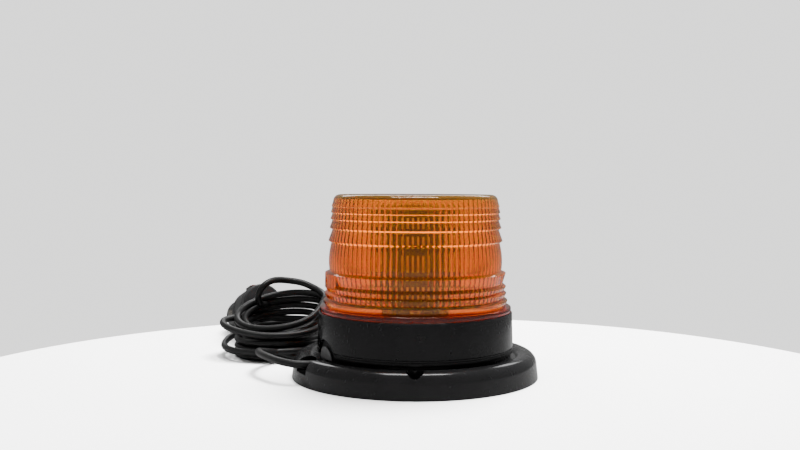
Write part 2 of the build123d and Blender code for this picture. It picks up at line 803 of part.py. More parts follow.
def make_wire(side):
    face = terminal_distance + terminal_size[1] / 2
    points = [beside_port(cord_end_r, side * 0.9, clamp_cord_z),
              beside_port(cord_end_r - 3.2, side * 0.9, clamp_cord_z),
              beside_port(face + 3.2, side * 2.0, terminal_entry_z),
              beside_port(face, side * 2.0, terminal_entry_z)]
    return tube(points, wire_r, "wire")


# Cord outside the lamp: a lead from the notch to the coil, and the coil

def make_cord_lead():
    points = [
        beside_port(cord_exit_r, 0.0, cord_z),
        beside_port(61.0, 0.0, 9.4),
        beside_port(69.0, 8.0, 10.4),
        beside_port(71.5, 19.5, 11.0),
        beside_port(72.5, 31.8, 11.2),
        beside_port(69.6, 43.5, 10.2),
        beside_port(63.2, 53.0, 7.8),
        beside_port(55.0, 59.0, 5.4),
    ]
    return tube(points, cord_r, "cord_lead")


def along_plug():
    """Location with its origin at the rear face of the plug, Z towards its nose and Y up."""
    heading = (plug_nose - plug_rear).normalized()
    across = Vector(0, 0, 1).cross(heading).normalized()
    return Location(Plane(origin=plug_rear, x_dir=across, z_dir=heading))


def make_cord_coil():
    outline = Polyline(
        (0, 22.0, 0), (0, 91.0, 0), (0, 91.0, 12.6), (0, 80.0, 15.4), (0, 79.0, 34.0), (0, 74.0, 43.0),
        (0, 64.0, 41.0), (0, 50.0, 31.0), (0, 30.0, 21.0), (0, 22.0, 9.0), close=True)
    slab = extrude(make_face(outline), 2 * coil_half_x + 10.0, dir=(-1, 0, 0))
    slab = Pos(coil_centre[0] + coil_half_x + 5.0, 0, 0) * slab
    plan = Pos(coil_centre[0], coil_centre[1], 0) * Ellipse(coil_half_x, coil_half_y)
    body = slab & extrude(plan, 50.0)
    seat = rod(handle_r + FIT_GAP, -0.01, plug_l)
    seat += block(-handle_r - FIT_GAP, handle_r + FIT_GAP, 0, 30.0, -0.01, plug_l)
    relief_seat = rod(relief_root_r + 1.0, -relief_l, 1)
    relief_seat += block(-relief_root_r - 1.0, relief_root_r + 1.0, 0, 20.0, -relief_l, 1)
    return body - along_plug() * (seat + relief_seat)


# Plug, in its own frame: Z runs from its rear face to its nose, Y is its upper side

def make_plug_shells():
    outer = rod(handle_r, 0, handle_l)
    rim = outer.edges().filter_by(GeomType.CIRCLE).group_by(Axis.Z)
    outer = fillet(rim[0] + rim[-1], 1.4)
    grooves = joined([ring(handle_r + 1, handle_r - 0.5, z, z + 0.9) for z in (3.0, 5.0, 7.0, 25.0, 27.0, 29.0)])
    outer -= grooves
    outer += rod(barrel_r, handle_l - 2, barrel_end)
    inner = rod(handle_r - plug_wall, 2.0, handle_l - plug_wall)
    inner += rod(barrel_r - plug_wall, 2.0, barrel_end - 2.0)
    shell = outer - inner
    shell -= rod(relief_root_r + PIN_GAP, -1, 3)
    shell -= rod(6.2 + PIN_GAP, barrel_end - 3, barrel_end + 1)
    seat_z = fuse_front - fuse_l - spring_l
    shell += rod(handle_r - plug_wall + 0.5, seat_z - seat_t - 1.5, seat_z - seat_t)
    shell += ring(sleeve_bore_r + sleeve_wall, sleeve_bore_r, seat_z - seat_t - 0.5, barrel_end - 3.0)
    shell -= rod(2.0, seat_z - seat_t - 3, seat_z)
    for x in (-1, 1):
        slot = block(min(x * 6, x * 14), max(x * 6, x * 14), -side_contact_w / 2 - RUNNING_GAP,
                     side_contact_w / 2 + RUNNING_GAP, side_contact_z, side_contact_z + side_contact_l)
        shell -= slot
    opening_x = rocker_w / 2 + RUNNING_GAP + bezel_wall
    opening_z = rocker_l / 2 + RUNNING_GAP + FIT_GAP + bezel_wall
    shell -= block(-opening_x, opening_x, 3, handle_r + 2, rocker_z - opening_z, rocker_z + opening_z)
    shell += rod_y(2.6, -handle_r + 1.0, handle_r - 1.0, 0, plug_screw_z)
    shell -= rod_y(plug_screw_r + PIN_GAP, -handle_r - 1, 7.0, 0, plug_screw_z)
    shell -= rod_y(plug_screw_head_r + FIT_GAP, -handle_r - 1, -handle_r + 2.2, 0, plug_screw_z)
    big = 100.0
    upper = shell & block(-big, big, 0, big, -big, big)
    lower = shell & block(-big, big, -big, 0, -big, big)
    return upper, lower


def rod_y(radius, y0, y1, x, z):
    """Round bar along the plug's Y."""
    return Pos(x, (y0 + y1) / 2, z) * Rot(90, 0, 0) * Cylinder(radius, y1 - y0)


def make_plug_screw():
    head = rod_y(plug_screw_head_r, -handle_r + 0.4, -handle_r + 2.2, 0, plug_screw_z)
    return head + rod_y(plug_screw_r, -handle_r + 2.0, 6.5, 0, plug_screw_z)


def make_fuse_cap():
    front = barrel_end + cap_l
    cap = rod(cap_r, barrel_end, front)
    rim = cap.edges().filter_by(GeomType.CIRCLE).group_by(Axis.Z)[-1]
    cap = fillet(rim, 1.2)
    ribs = []
    for turn in spaced(20):
        ribs.append(Rot(0, 0, turn) * block(-0.35, 0.35, -cap_r - 1, -cap_r + 0.4, barrel_end + 1, front - 2.5))
    cap -= joined(ribs)
    cap += ring(6.2, 5.0, barrel_end - 1.8, barrel_end + 1)
    cap -= rod(5.0, barrel_end - 3, front - cap_wall)
    return cap - rod(tip_r + PIN_GAP, barrel_end, front + 1)


def make_tip_contact():
    shoulder_z = barrel_end + cap_l - cap_wall
    flange = rod(tip_flange_r, fuse_front, shoulder_z)
    pin = rod(tip_r, shoulder_z - 0.5, shoulder_z + cap_wall + tip_reach)
    rim = pin.edges().filter_by(GeomType.CIRCLE).group_by(Axis.Z)[-1]
    return flange + fillet(rim, 1.6)


def make_fuse():
    low_z = fuse_front - fuse_l
    tube_part = rod(fuse_r - 0.2, low_z + 5.5, fuse_front - 5.5)
    return tube_part, [rod(fuse_r, low_z, low_z + 6.0) - rod(fuse_r - 0.2, low_z + 5.5, low_z + 7),
                       rod(fuse_r, fuse_front - 6.0, fuse_front) - rod(fuse_r - 0.2, fuse_front - 7,
                                                                       fuse_front - 5.5)]


def make_tip_spring():
    low_z = fuse_front - fuse_l - spring_l
    pitch = (spring_l - 2 * spring_wire_r) / spring_turns
    path = Pos(0, 0, low_z + spring_wire_r) * Helix(pitch, spring_l - 2 * spring_wire_r, spring_r)
    section = Plane(origin=path @ 0, z_dir=path % 0) * Circle(spring_wire_r)
    return sweep(section, path=path, is_frenet=True)


def make_spring_seat():
    low_z = fuse_front - fuse_l - spring_l - seat_t
    return rod(sleeve_bore_r - PIN_GAP, low_z, low_z + seat_t)


def make_side_contact(side):
    foot_x = barrel_r - plug_wall - 0.35
    crown_x = barrel_r + side_contact_crown
    z0 = side_contact_z + RUNNING_GAP
    z1 = side_contact_z + side_contact_l - RUNNING_GAP
    mid_z = (z0 + z1) / 2
    low_z = z0 - side_contact_foot
    high_z = z1 + side_contact_foot
    outside = ThreePointArc((foot_x, 0, z0), (crown_x, 0, mid_z), (foot_x, 0, z1))
    inside = ThreePointArc((foot_x - side_contact_t, 0, z1 - side_contact_t),
                           (crown_x - side_contact_t, 0, mid_z),
                           (foot_x - side_contact_t, 0, z0 + side_contact_t))
    top_foot = Polyline((foot_x, 0, z1), (foot_x, 0, high_z), (foot_x - side_contact_t, 0, high_z),
                        (foot_x - side_contact_t, 0, z1 - side_contact_t))
    low_foot = Polyline((foot_x - side_contact_t, 0, z0 + side_contact_t), (foot_x - side_contact_t, 0, low_z),
                        (foot_x, 0, low_z), (foot_x, 0, z0))
    outline = Wire([*outside.edges(), *top_foot.edges(), *inside.edges(), *low_foot.edges()])
    strip = extrude(make_face(outline), side_contact_w / 2, both=True)
    return strip if side > 0 else Rot(0, 0, 180) * strip


def make_rocker_bezel():
    half_x = rocker_w / 2 + RUNNING_GAP
    half_z = rocker_l / 2 + RUNNING_GAP + FIT_GAP
    low_y = 4.0
    top_y = handle_r + 0.8
    x1 = half_x + bezel_wall
    z1 = half_z + bezel_wall
    frame_body = block(-x1 + PIN_GAP, x1 - PIN_GAP, low_y, top_y, rocker_z - z1 + PIN_GAP, rocker_z + z1 - PIN_GAP)
    frame_body -= block(-half_x, half_x, low_y + 1.2, top_y + 1, rocker_z - half_z, rocker_z + half_z)
    bore = Pos(0, handle_r - 1.2, rocker_z) * Rot(0, 90, 0) * Cylinder(rocker_pin_r + PIN_GAP, 2 * x1 - 1.0)
    return frame_body - bore


def make_rocker():
    top_y = rocker_t / 2
    half = rocker_l / 2
    dip = half * math.tan(math.radians(rocker_tilt))
    outline = Polyline((0, -top_y + 0.6, -half), (0, top_y + dip / 2, -half), (0, top_y - dip / 2, 0),
                       (0, top_y + dip / 2, half), (0, -top_y + 0.6, half), (0, -top_y, 0), close=True)
    body = extrude(make_face(outline), rocker_w / 2, both=True)
    pin = Rot(0, 90, 0) * Cylinder(rocker_pin_r, rocker_w + 2 * (RUNNING_GAP + 0.7))
    whole = body + pin
    return Pos(0, handle_r - 1.2, rocker_z) * Rot(rocker_tilt, 0, 0) * whole


def make_strain_relief():
    body = turned([(0, -relief_l), (relief_tip_r, -relief_l), (relief_root_r, 0), (relief_root_r, 2.2),
                   (relief_collar_r, 2.2), (relief_collar_r, 2.2 + relief_collar_t), (0, 2.2 + relief_collar_t)])
    for z in (-10.5, -8.5, -6.5, -4.5, -2.5):
        body -= ring(relief_root_r + 1, relief_tip_r - 0.25, z, z + 0.9)
    return body


# Build every node

upper_shell, lower_shell = make_plug_shells()
fuse_tube, fuse_ends = make_fuse()
plug_frame = along_plug()

nodes = {
    "mount_flange": make_mount_flange(),
    "magnet_pad": make_magnet_pad(),
    "magnet": make_magnet(),
    "magnet_cup": make_magnet_cup(),
    "magnet_bolt": make_magnet_bolt(),
    "magnet_washer": make_magnet_washer(),
    "magnet_nut": make_magnet_nut(),
    "housing": make_housing(),
    "housing_screws": make_housing_screws(),
    "cable_grommet": make_cable_grommet(),
    "cord_clamp": make_cord_clamp(),
    "clamp_screw": make_clamp_screw(),
    "lens": make_lens(),
    "lens_seal": make_lens_seal(),
    "driver_board": make_driver_board(),
    "board_screws": make_board_screws(),
    "led_core": make_led_core(),
    "tower_screws": make_tower_screws(),
    "top_board": make_top_board(),
    "top_leds": make_top_leds(),
    "top_screw": make_top_screw(),
    "smoothing_cans": make_smoothing_cans(),
    "choke_core": make_choke(),
    "choke_winding": make_choke_winding(),
    "driver_chip": make_driver_chip(),
    "transistors": make_transistors(),
    "resistors": make_resistors(),
    "terminal": make_terminal(),
    "cord_inner": make_cord_inner(),
    "wire_positive": make_wire(1),
    "wire_negative": make_wire(-1),
    "cord_lead": make_cord_lead(),
    "cord_coil": make_cord_coil(),
}

for number, turn in enumerate(side_turns(), start=1):
    nodes[f"led_board_{number}"] = make_led_board(turn)
    nodes[f"leds_{number}"] = make_leds(turn)

plug_nodes = {
    "plug_shell_upper": upper_shell,
    "plug_shell_lower": lower_shell,
    "plug_screw": make_plug_screw(),
    "strain_relief": make_strain_relief(),
    "rocker_bezel": make_rocker_bezel(),
    "rocker": make_rocker(),
    "fuse_cap": make_fuse_cap(),
    "tip_contact": make_tip_contact(),
    "fuse_tube": fuse_tube,
    "fuse_ends": fuse_ends,
    "tip_spring": make_tip_spring(),
    "spring_seat": make_spring_seat(),
    "side_contact_1": make_side_contact(1),
    "side_contact_2": make_side_contact(-1),
}

for node, piece in plug_nodes.items():
    if isinstance(piece, list):
        nodes[node] = [plug_frame * solid for solid in piece]
    else:
        nodes[node] = plug_frame * piece

for node, piece in nodes.items():
    save(piece, node)

print(len(nodes), "nodes; plug length", round(plug_l, 2))
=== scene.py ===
"""Looks of an amber strobe light on a magnetic foot, with its coiled cord and its plug.

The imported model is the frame, and every place here is in its axes. Sizes are in millimetres until MM turns
them into the metres of the scene.
"""

import logging
import math
from dataclasses import dataclass
from enum import Enum

import bpy
from mathutils import Matrix, Vector

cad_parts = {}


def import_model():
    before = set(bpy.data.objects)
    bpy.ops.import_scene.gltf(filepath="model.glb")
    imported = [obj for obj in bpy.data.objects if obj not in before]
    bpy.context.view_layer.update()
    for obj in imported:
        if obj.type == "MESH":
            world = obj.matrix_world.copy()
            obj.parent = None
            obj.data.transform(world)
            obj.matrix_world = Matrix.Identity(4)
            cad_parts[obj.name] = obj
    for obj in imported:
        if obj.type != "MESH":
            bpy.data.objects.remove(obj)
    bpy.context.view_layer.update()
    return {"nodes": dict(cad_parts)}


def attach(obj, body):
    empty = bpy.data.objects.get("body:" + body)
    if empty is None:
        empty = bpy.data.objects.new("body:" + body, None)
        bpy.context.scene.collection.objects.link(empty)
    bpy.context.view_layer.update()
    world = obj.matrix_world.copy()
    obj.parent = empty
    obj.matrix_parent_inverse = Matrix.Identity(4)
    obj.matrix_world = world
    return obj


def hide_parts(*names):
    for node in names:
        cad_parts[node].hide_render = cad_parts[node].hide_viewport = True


MM = 0.001
Colour = tuple[float, float, float]
Point = tuple[float, float, float]
Corner = tuple[float, float]
Nodes = dict[str, bpy.types.Object]
log = logging.getLogger("strobe_light")


# Shader graphs

class Graph:
    """A node tree under construction."""

    def __init__(self, tree: bpy.types.NodeTree) -> None:
        """Empties the tree and keeps it."""
        self.tree = tree
        tree.nodes.clear()

    def add(self, kind: str, inputs: dict | None = None, **settings: object) -> bpy.types.Node:
        """Adds a node.

        Args:
            kind: the node's type name.
            inputs: socket name or number to a value, or to a socket that feeds it.
            settings: attributes of the node.

        Returns:
            The new node.
        """
        node = self.tree.nodes.new(kind)
        for key, value in settings.items():
            setattr(node, key, value)
        for key, value in (inputs or {}).items():
            if isinstance(value, bpy.types.NodeSocket):
                self.tree.links.new(value, node.inputs[key])
            else:
                node.inputs[key].default_value = value
        return node

    def math(self, operation: str, first: object, second: object = 0.0,
             clamp: bool = False) -> bpy.types.NodeSocket:
        """Adds a Math node.

        Args:
            operation: the sum that it does.
            first: a number or a socket.
            second: a number or a socket.
            clamp: whether the result is held between 0 and 1.

        Returns:
            The socket with the result.
        """
        node = self.add("ShaderNodeMath", {0: first, 1: second}, operation=operation, use_clamp=clamp)
        return node.outputs[0]

    def span(self, value: object, low: float, high: float, out_low: float,
             out_high: float) -> bpy.types.NodeSocket:
        """Maps one range onto another.

        Args:
            value: the socket to map.
            low: lower end of its range.
            high: upper end of its range.
            out_low: result at the lower end.
            out_high: result at the upper end.

        Returns:
            The socket with the mapped value.
        """
        node = self.add("ShaderNodeMapRange", {"Value": value, "From Min": low, "From Max": high,
                                               "To Min": out_low, "To Max": out_high})
        return node.outputs["Result"]

    def mix(self, factor: object, first: object, second: object) -> bpy.types.NodeSocket:
        """Mixes two colours.

        Args:
            factor: share of the second colour.
            first: a colour or a socket.
            second: a colour or a socket.

        Returns:
            The socket with the mixed colour.
        """
        node = self.add("ShaderNodeMix", data_type="RGBA")
        for key, value in ((0, factor), (6, first), (7, second)):
            if isinstance(value, bpy.types.NodeSocket):
                self.tree.links.new(value, node.inputs[key])
            elif key == 0:
                node.inputs[key].default_value = value
            else:
                node.inputs[key].default_value = (*value, 1.0)
        return node.outputs[2]

    def parts(self) -> bpy.types.Node:
        """Splits the place of a point, in the piece's own axes, into X, Y and Z."""
        return self.add("ShaderNodeSeparateXYZ", {0: self.add("ShaderNodeTexCoord").outputs["Object"]})

    def reach(self) -> bpy.types.NodeSocket:
        """Gives the distance of a point from the upright axis of the lamp.

        Returns:
            The socket with the distance.
        """
        here = self.parts()
        plan = self.add("ShaderNodeCombineXYZ", {"X": here.outputs["X"], "Y": here.outputs["Y"]})
        length = self.add("ShaderNodeVectorMath", {0: plan.outputs[0]}, operation="LENGTH")
        return length.outputs["Value"]

    def place(self, scale: Point = (1.0, 1.0, 1.0), turn: Point = (0.0, 0.0, 0.0)) -> bpy.types.NodeSocket:
        """Gives the place of a point of the surface in the piece's own axes.

        Args:
            scale: stretch along each axis.
            turn: rotation about each axis, in radians.

        Returns:
            The socket with the place.
        """
        here = self.add("ShaderNodeTexCoord").outputs["Object"]
        node = self.add("ShaderNodeMapping", {"Vector": here, "Scale": scale, "Rotation": turn})
        return node.outputs["Vector"]

    def noise(self, where: object, scale: object, detail: float = 4.0,
              rough: float = 0.55) -> bpy.types.NodeSocket:
        """Adds a noise texture.

        Args:
            where: the place that it is read at.
            scale: cells to the metre.
            detail: octaves.
            rough: weight of the finer octaves.

        Returns:
            The socket with the noise, from 0 to 1.
        """
        node = self.add("ShaderNodeTexNoise", {"Vector": where, "Scale": scale, "Detail": detail,
                                               "Roughness": rough})
        return node.outputs["Fac"]


class Effect(Enum):
    """Surface effects that several finishes share."""

    GRAIN = "moulded_grain"
    EDGES = "rounded_edges"
    DUST = "settled_dust"
    SCUFFS = "fine_scuffs"


class Effects:
    """Builds each shared effect once, as a shader node group."""

    made: dict[Effect, bpy.types.NodeTree] = {}

    @classmethod
    def group(cls, effect: Effect) -> bpy.types.NodeTree:
        """Gives the group of an effect.

        Args:
            effect: the effect wanted.

        Returns:
            Its node group, built on first use.
        """
        if effect not in cls.made:
            builders = {Effect.GRAIN: cls.grain, Effect.EDGES: cls.edges, Effect.DUST: cls.dust,
                        Effect.SCUFFS: cls.scuffs}
            cls.made[effect] = builders[effect](effect.value)
        return cls.made[effect]

    @classmethod
    def put(cls, graph: Graph, effect: Effect, **values: float) -> bpy.types.Node:
        """Places an effect in a material.

        Args:
            graph: the material's graph.
            effect: the effect wanted.
            values: its named inputs.

        Returns:
            The group node.
        """
        node = graph.add("ShaderNodeGroup", node_tree=cls.group(effect))
        for key, value in values.items():
            node.inputs[key.replace("_", " ").title()].default_value = value
        return node

    @staticmethod
    def start(name: str, inputs: dict[str, float],
              outputs: dict[str, str]) -> tuple[Graph, bpy.types.Node, bpy.types.Node]:
        """Starts a group with named sockets.

        Args:
            name: the group's name.
            inputs: input names with their first values.
            outputs: output names with their socket types.

        Returns:
            The graph, its input node and its output node.
        """
        tree = bpy.data.node_groups.new(name, "ShaderNodeTree")
        for key, value in inputs.items():
            socket = tree.interface.new_socket(name=key, in_out="INPUT", socket_type="NodeSocketFloat")
            socket.default_value = value
        for key, kind in outputs.items():
            tree.interface.new_socket(name=key, in_out="OUTPUT", socket_type=kind)
        graph = Graph(tree)
        return graph, graph.add("NodeGroupInput"), graph.add("NodeGroupOutput")

    @classmethod
    def grain(cls, name: str) -> bpy.types.NodeTree:
        """Builds the fine grain of a moulded surface, with a slow change of tone.

        Args:
            name: the group's name.

        Returns:
            The group.
        """
        graph, given, out = cls.start(name, {"Scale": 2000.0, "Patch Scale": 60.0},
                                      {"Height": "NodeSocketFloat", "Tone": "NodeSocketFloat"})
        here = graph.place()
        fine = graph.noise(here, given.outputs["Scale"], 3.0, 0.6)
        slow = graph.noise(here, given.outputs["Patch Scale"], 5.0, 0.6)
        graph.tree.links.new(fine, out.inputs["Height"])
        graph.tree.links.new(graph.span(slow, 0.3, 0.7, 0.0, 1.0), out.inputs["Tone"])
        return graph.tree

    @classmethod
    def edges(cls, name: str) -> bpy.types.NodeTree:
        """Builds the small rounding of moulded edges, and the mask of where they rub.

        Args:
            name: the group's name.

        Returns:
            The group.
        """
        graph, given, out = cls.start(name, {"Radius": 0.0003, "Patch Scale": 220.0},
                                      {"Mask": "NodeSocketFloat", "Normal": "NodeSocketVector"})
        bevel = graph.add("ShaderNodeBevel", {"Radius": given.outputs["Radius"]}, samples=6)
        plain = graph.add("ShaderNodeNewGeometry").outputs["Normal"]
        same = graph.add("ShaderNodeVectorMath", {0: bevel.outputs["Normal"], 1: plain},
                         operation="DOT_PRODUCT")
        edge = graph.span(same.outputs["Value"], 1.0, 0.86, 0.0, 1.0)
        cloud = graph.noise(graph.place(), given.outputs["Patch Scale"], 4.0, 0.65)
        patch = graph.span(cloud, 0.42, 0.62, 0.0, 1.0)
        graph.tree.links.new(graph.math("MULTIPLY", edge, patch, clamp=True), out.inputs["Mask"])
        graph.tree.links.new(bevel.outputs["Normal"], out.inputs["Normal"])
        return graph.tree

    @classmethod
    def dust(cls, name: str) -> bpy.types.NodeTree:
        """Builds the dust that lies on what faces up.

        Args:
            name: the group's name.

        Returns:
            The group.
        """
        graph, given, out = cls.start(name, {"Scale": 900.0}, {"Mask": "NodeSocketFloat"})
        facing = graph.add("ShaderNodeSeparateXYZ", {0: graph.add("ShaderNodeNewGeometry").outputs["Normal"]})
        upward = graph.span(facing.outputs["Z"], 0.35, 1.0, 0.0, 1.0)
        here = graph.place()
        speck = graph.span(graph.noise(here, given.outputs["Scale"], 6.0, 0.7), 0.5, 0.75, 0.0, 1.0)
        cloud = graph.noise(here, 45.0, 3.0, 0.5)
        graph.tree.links.new(graph.math("MULTIPLY", upward, graph.math("MULTIPLY", speck, cloud), clamp=True),
                             out.inputs["Mask"])
        return graph.tree

    @classmethod
    def scuffs(cls, name: str) -> bpy.types.NodeTree:
        """Builds fine scratches that run in two directions.

        Args:
            name: the group's name.

        Returns:
            The group.
        """
        graph, given, out = cls.start(name, {"Scale": 90.0}, {"Mask": "NodeSocketFloat"})
        lines = []
        for turn in ((0.3, 0.2, 0.5), (0.9, 1.1, 2.2)):
            here = graph.place(scale=(1.0, 14.0, 3.0), turn=turn)
            streak = graph.noise(here, given.outputs["Scale"], 2.0, 0.5)
            lines.append(graph.span(streak, 0.66, 0.72, 0.0, 1.0))
        graph.tree.links.new(graph.math("MAXIMUM", lines[0], lines[1], clamp=True), out.inputs["Mask"])
        return graph.tree


# Finishes

class Finish:
    """Base of the finishes: each builds its material once."""

    name: str
    built: dict[str, bpy.types.Material] = {}

    def material(self) -> bpy.types.Material:
        """Gives the material of the finish.

        Returns:
            The material, built on first use.
        """
        if self.name not in Finish.built:
            made = bpy.data.materials.new(self.name)
            made.use_nodes = True
            self.shade(Graph(made.node_tree))
            Finish.built[self.name] = made
        return Finish.built[self.name]

    def shade(self, graph: Graph) -> None:
        """Builds the shader; each finish has its own."""
        raise NotImplementedError

    @staticmethod
    def surface(graph: Graph, **inputs: object) -> bpy.types.Node:
        """Adds the main shader and joins it to the output.

        Args:
            graph: the material's graph.
            inputs: socket names, with _ for a space, and their values or sockets.

        Returns:
            The shader node.
        """
        shader = graph.add("ShaderNodeBsdfPrincipled")
        for key, value in inputs.items():
            socket = shader.inputs[key.replace("_", " ")]
            if isinstance(value, bpy.types.NodeSocket):
                graph.tree.links.new(value, socket)
            elif isinstance(value, tuple) and len(value) == 3 and socket.type == "RGBA":
                socket.default_value = (*value, 1.0)
            else:
                socket.default_value = value
        graph.add("ShaderNodeOutputMaterial", {"Surface": shader.outputs[0]})
        return shader


def tinted(colour: Colour, factor: float) -> Colour:
    """Makes a colour lighter or darker.

    Args:
        colour: the colour.
        factor: what each channel is multiplied by.

    Returns:
        The new colour.
    """
    return tuple(min(1.0, channel * factor) for channel in colour)


@dataclass(frozen=True)
class Moulded(Finish):
    """Moulded plastic or rubber, with grain, rubbed edges, scuffs and dust, and an optional painted highlight
    beyond a radius.
    """

    name: str
    colour: Colour
    roughness: float = 0.38
    spread: float = 0.1
    grain_scale: float = 2600.0
    grain_height: float = 0.00002
    edge_radius: float = 0.0003
    wear: float = 0.25
    dust: float = 0.12
    specular: float = 0.5
    painted_highlight_r: float = 0.0
    painted_highlight_colour: Colour = (0.06, 0.06, 0.061)

    def shade(self, graph: Graph) -> None:
        """Builds the shader of moulded plastic."""
        grain = Effects.put(graph, Effect.GRAIN, scale=self.grain_scale, patch_scale=70.0)
        edges = Effects.put(graph, Effect.EDGES, radius=self.edge_radius)
        dust = Effects.put(graph, Effect.DUST)
        scuffs = Effects.put(graph, Effect.SCUFFS)
        tone = grain.outputs["Tone"]
        colour = graph.mix(tone, tinted(self.colour, 0.82), tinted(self.colour, 1.18))
        pale = tuple(0.5 * channel + 0.12 for channel in self.colour)
        colour = graph.mix(graph.math("MULTIPLY", edges.outputs["Mask"], self.wear), colour, pale)
        settled = graph.math("MULTIPLY", dust.outputs["Mask"], self.dust)
        colour = graph.mix(settled, colour, (0.42, 0.4, 0.37))
        # Painted highlight: beyond a set distance from the lamp's axis the colour turns to a lighter grey.
        if self.painted_highlight_r > 0.0:
            rim = graph.span(graph.reach(), self.painted_highlight_r, self.painted_highlight_r + 0.0001, 0.0, 1.0)
            colour = graph.mix(rim, colour, self.painted_highlight_colour)
        half = self.spread / 2
        rough = graph.span(tone, 0.0, 1.0, self.roughness - half, self.roughness + half)
        rubbed = graph.math("MULTIPLY", scuffs.outputs["Mask"], 0.12)
        rough = graph.math("ADD", rough, rubbed, clamp=True)
        bump = graph.add("ShaderNodeBump", {"Strength": 0.6, "Distance": self.grain_height,
                                            "Height": grain.outputs["Height"],
                                            "Normal": edges.outputs["Normal"]})
        self.surface(graph, Base_Color=colour, Roughness=rough, Normal=bump.outputs["Normal"],
                     Specular_IOR_Level=self.specular)


@dataclass(frozen=True)
class Metal(Finish):
    """Plated or bare metal, with brush marks and a dull film."""

    name: str
    colour: Colour
    roughness: float = 0.28
    film: Colour = (0.16, 0.14, 0.12)
    film_share: float = 0.25
    brush_scale: float = 700.0
    edge_radius: float = 0.00015

    def shade(self, graph: Graph) -> None:
        """Builds the shader of metal."""
        edges = Effects.put(graph, Effect.EDGES, radius=self.edge_radius)
        grain = Effects.put(graph, Effect.GRAIN, scale=3000.0, patch_scale=160.0)
        scuffs = Effects.put(graph, Effect.SCUFFS, scale=160.0)
        brushed = graph.noise(graph.place(scale=(1.0, 1.0, 9.0)), self.brush_scale, 3.0, 0.6)
        filmed = graph.math("MULTIPLY", grain.outputs["Tone"], self.film_share)
        colour = graph.mix(filmed, self.colour, self.film)
        rubbed = graph.math("MULTIPLY", edges.outputs["Mask"], 0.5)
        colour = graph.mix(rubbed, colour, tinted(self.colour, 1.2))
        rough = graph.span(brushed, 0.3, 0.7, self.roughness - 0.07, self.roughness + 0.1)
        rough = graph.math("ADD", rough, graph.math("MULTIPLY", scuffs.outputs["Mask"], 0.15), clamp=True)
        bump = graph.add("ShaderNodeBump", {"Strength": 0.35, "Distance": 0.00002, "Height": brushed,
                                            "Normal": edges.outputs["Normal"]})
        self.surface(graph, Base_Color=colour, Metallic=1.0, Roughness=rough, Normal=bump.outputs["Normal"])


@dataclass(frozen=True)
class Clear(Finish):
    """Clear or tinted plastic and glass, with a faint flow in its surface, and optional painted shade low
    down and painted light at the top.
    """

    name: str
    colour: Colour
    roughness: float = 0.05
    ior: float = 1.49
    depth_colour: Colour | None = None
    depth: float = 0.0
    ripple: float = 0.00002
    share: float = 1.0
    specular: float = 0.5
    painted_shade_colour: Colour | None = None
    low_z: float = 0.0
    painted_light_colour: Colour | None = None
    high_z: float = 0.0

    def shade(self, graph: Graph) -> None:
        """Builds the shader of clear plastic."""
        grain = Effects.put(graph, Effect.GRAIN, scale=420.0, patch_scale=45.0)
        rough = graph.span(grain.outputs["Tone"], 0.0, 1.0, self.roughness * 0.7, self.roughness * 1.5)
        colour = self.colour
        # Painted shade: below low_z the colour turns to a deep dark red, shade painted on the foot of the
        # cap.
        if self.painted_shade_colour is not None:
            height = graph.parts().outputs["Z"]
            low = graph.span(height, self.low_z + 0.001, self.low_z - 0.001, 0.0, 1.0)
            colour = graph.mix(low, self.colour, self.painted_shade_colour)
            # Painted light: above high_z the colour turns to a brighter orange, light painted on the top of
            # the cap.
            if self.painted_light_colour is not None:
                high = graph.span(height, self.high_z - 0.001, self.high_z + 0.001, 0.0, 1.0)
                colour = graph.mix(high, colour, self.painted_light_colour)
        shader = self.surface(graph, Base_Color=colour, Roughness=rough, IOR=self.ior,
                              Transmission_Weight=self.share, Metallic=0.0, Specular_IOR_Level=self.specular)
        if self.ripple > 0.0:
            bump = graph.add("ShaderNodeBump", {"Strength": 0.5, "Distance": self.ripple,
                                                "Height": grain.outputs["Height"]})
            graph.tree.links.new(bump.outputs["Normal"], shader.inputs["Normal"])
        if self.depth_colour is not None:
            inside = graph.add("ShaderNodeVolumeAbsorption", {"Color": (*self.depth_colour, 1.0),
                                                              "Density": self.depth})
            output = next(n for n in graph.tree.nodes if n.bl_idname == "ShaderNodeOutputMaterial")
            graph.tree.links.new(inside.outputs[0], output.inputs["Volume"])


@dataclass(frozen=True)
class Board(Finish):
    """Circuit board: masked copper tracks and plated pads."""

    name: str
    mask: Colour = (0.012, 0.09, 0.035)
    track: Colour = (0.03, 0.16, 0.07)
    edge: Colour = (0.38, 0.3, 0.16)

    def shade(self, graph: Graph) -> None:
        """Builds the shader of a circuit board."""
        grain = Effects.put(graph, Effect.GRAIN, scale=1800.0, patch_scale=90.0)
        here = graph.place(scale=(1.0, 1.0, 1.0), turn=(0.0, 0.0, 0.785))
        bricks = graph.add("ShaderNodeTexBrick", {"Vector": here, "Scale": 60.0, "Mortar Size": 0.035,
                                                  "Brick Width": 0.9, "Row Height": 0.22})
        cells = graph.add("ShaderNodeTexVoronoi", {"Vector": graph.place(), "Scale": 260.0}, feature="F1")
        pad = graph.span(cells.outputs["Distance"], 0.16, 0.12, 0.0, 1.0)
        colour = graph.mix(bricks.outputs["Fac"], self.mask, self.track)
        clouded = graph.math("MULTIPLY", grain.outputs["Tone"], 0.3)
        colour = graph.mix(clouded, colour, tinted(self.mask, 0.5))
        colour = graph.mix(graph.math("MULTIPLY", pad, 0.5, clamp=True), colour, self.edge)
        rough = graph.span(grain.outputs["Tone"], 0.0, 1.0, 0.28, 0.42)
        bump = graph.add("ShaderNodeBump", {"Strength": 0.4, "Distance": 0.00004,
                                            "Height": bricks.outputs["Fac"]})
        self.surface(graph, Base_Color=colour, Roughness=rough, Normal=bump.outputs["Normal"])


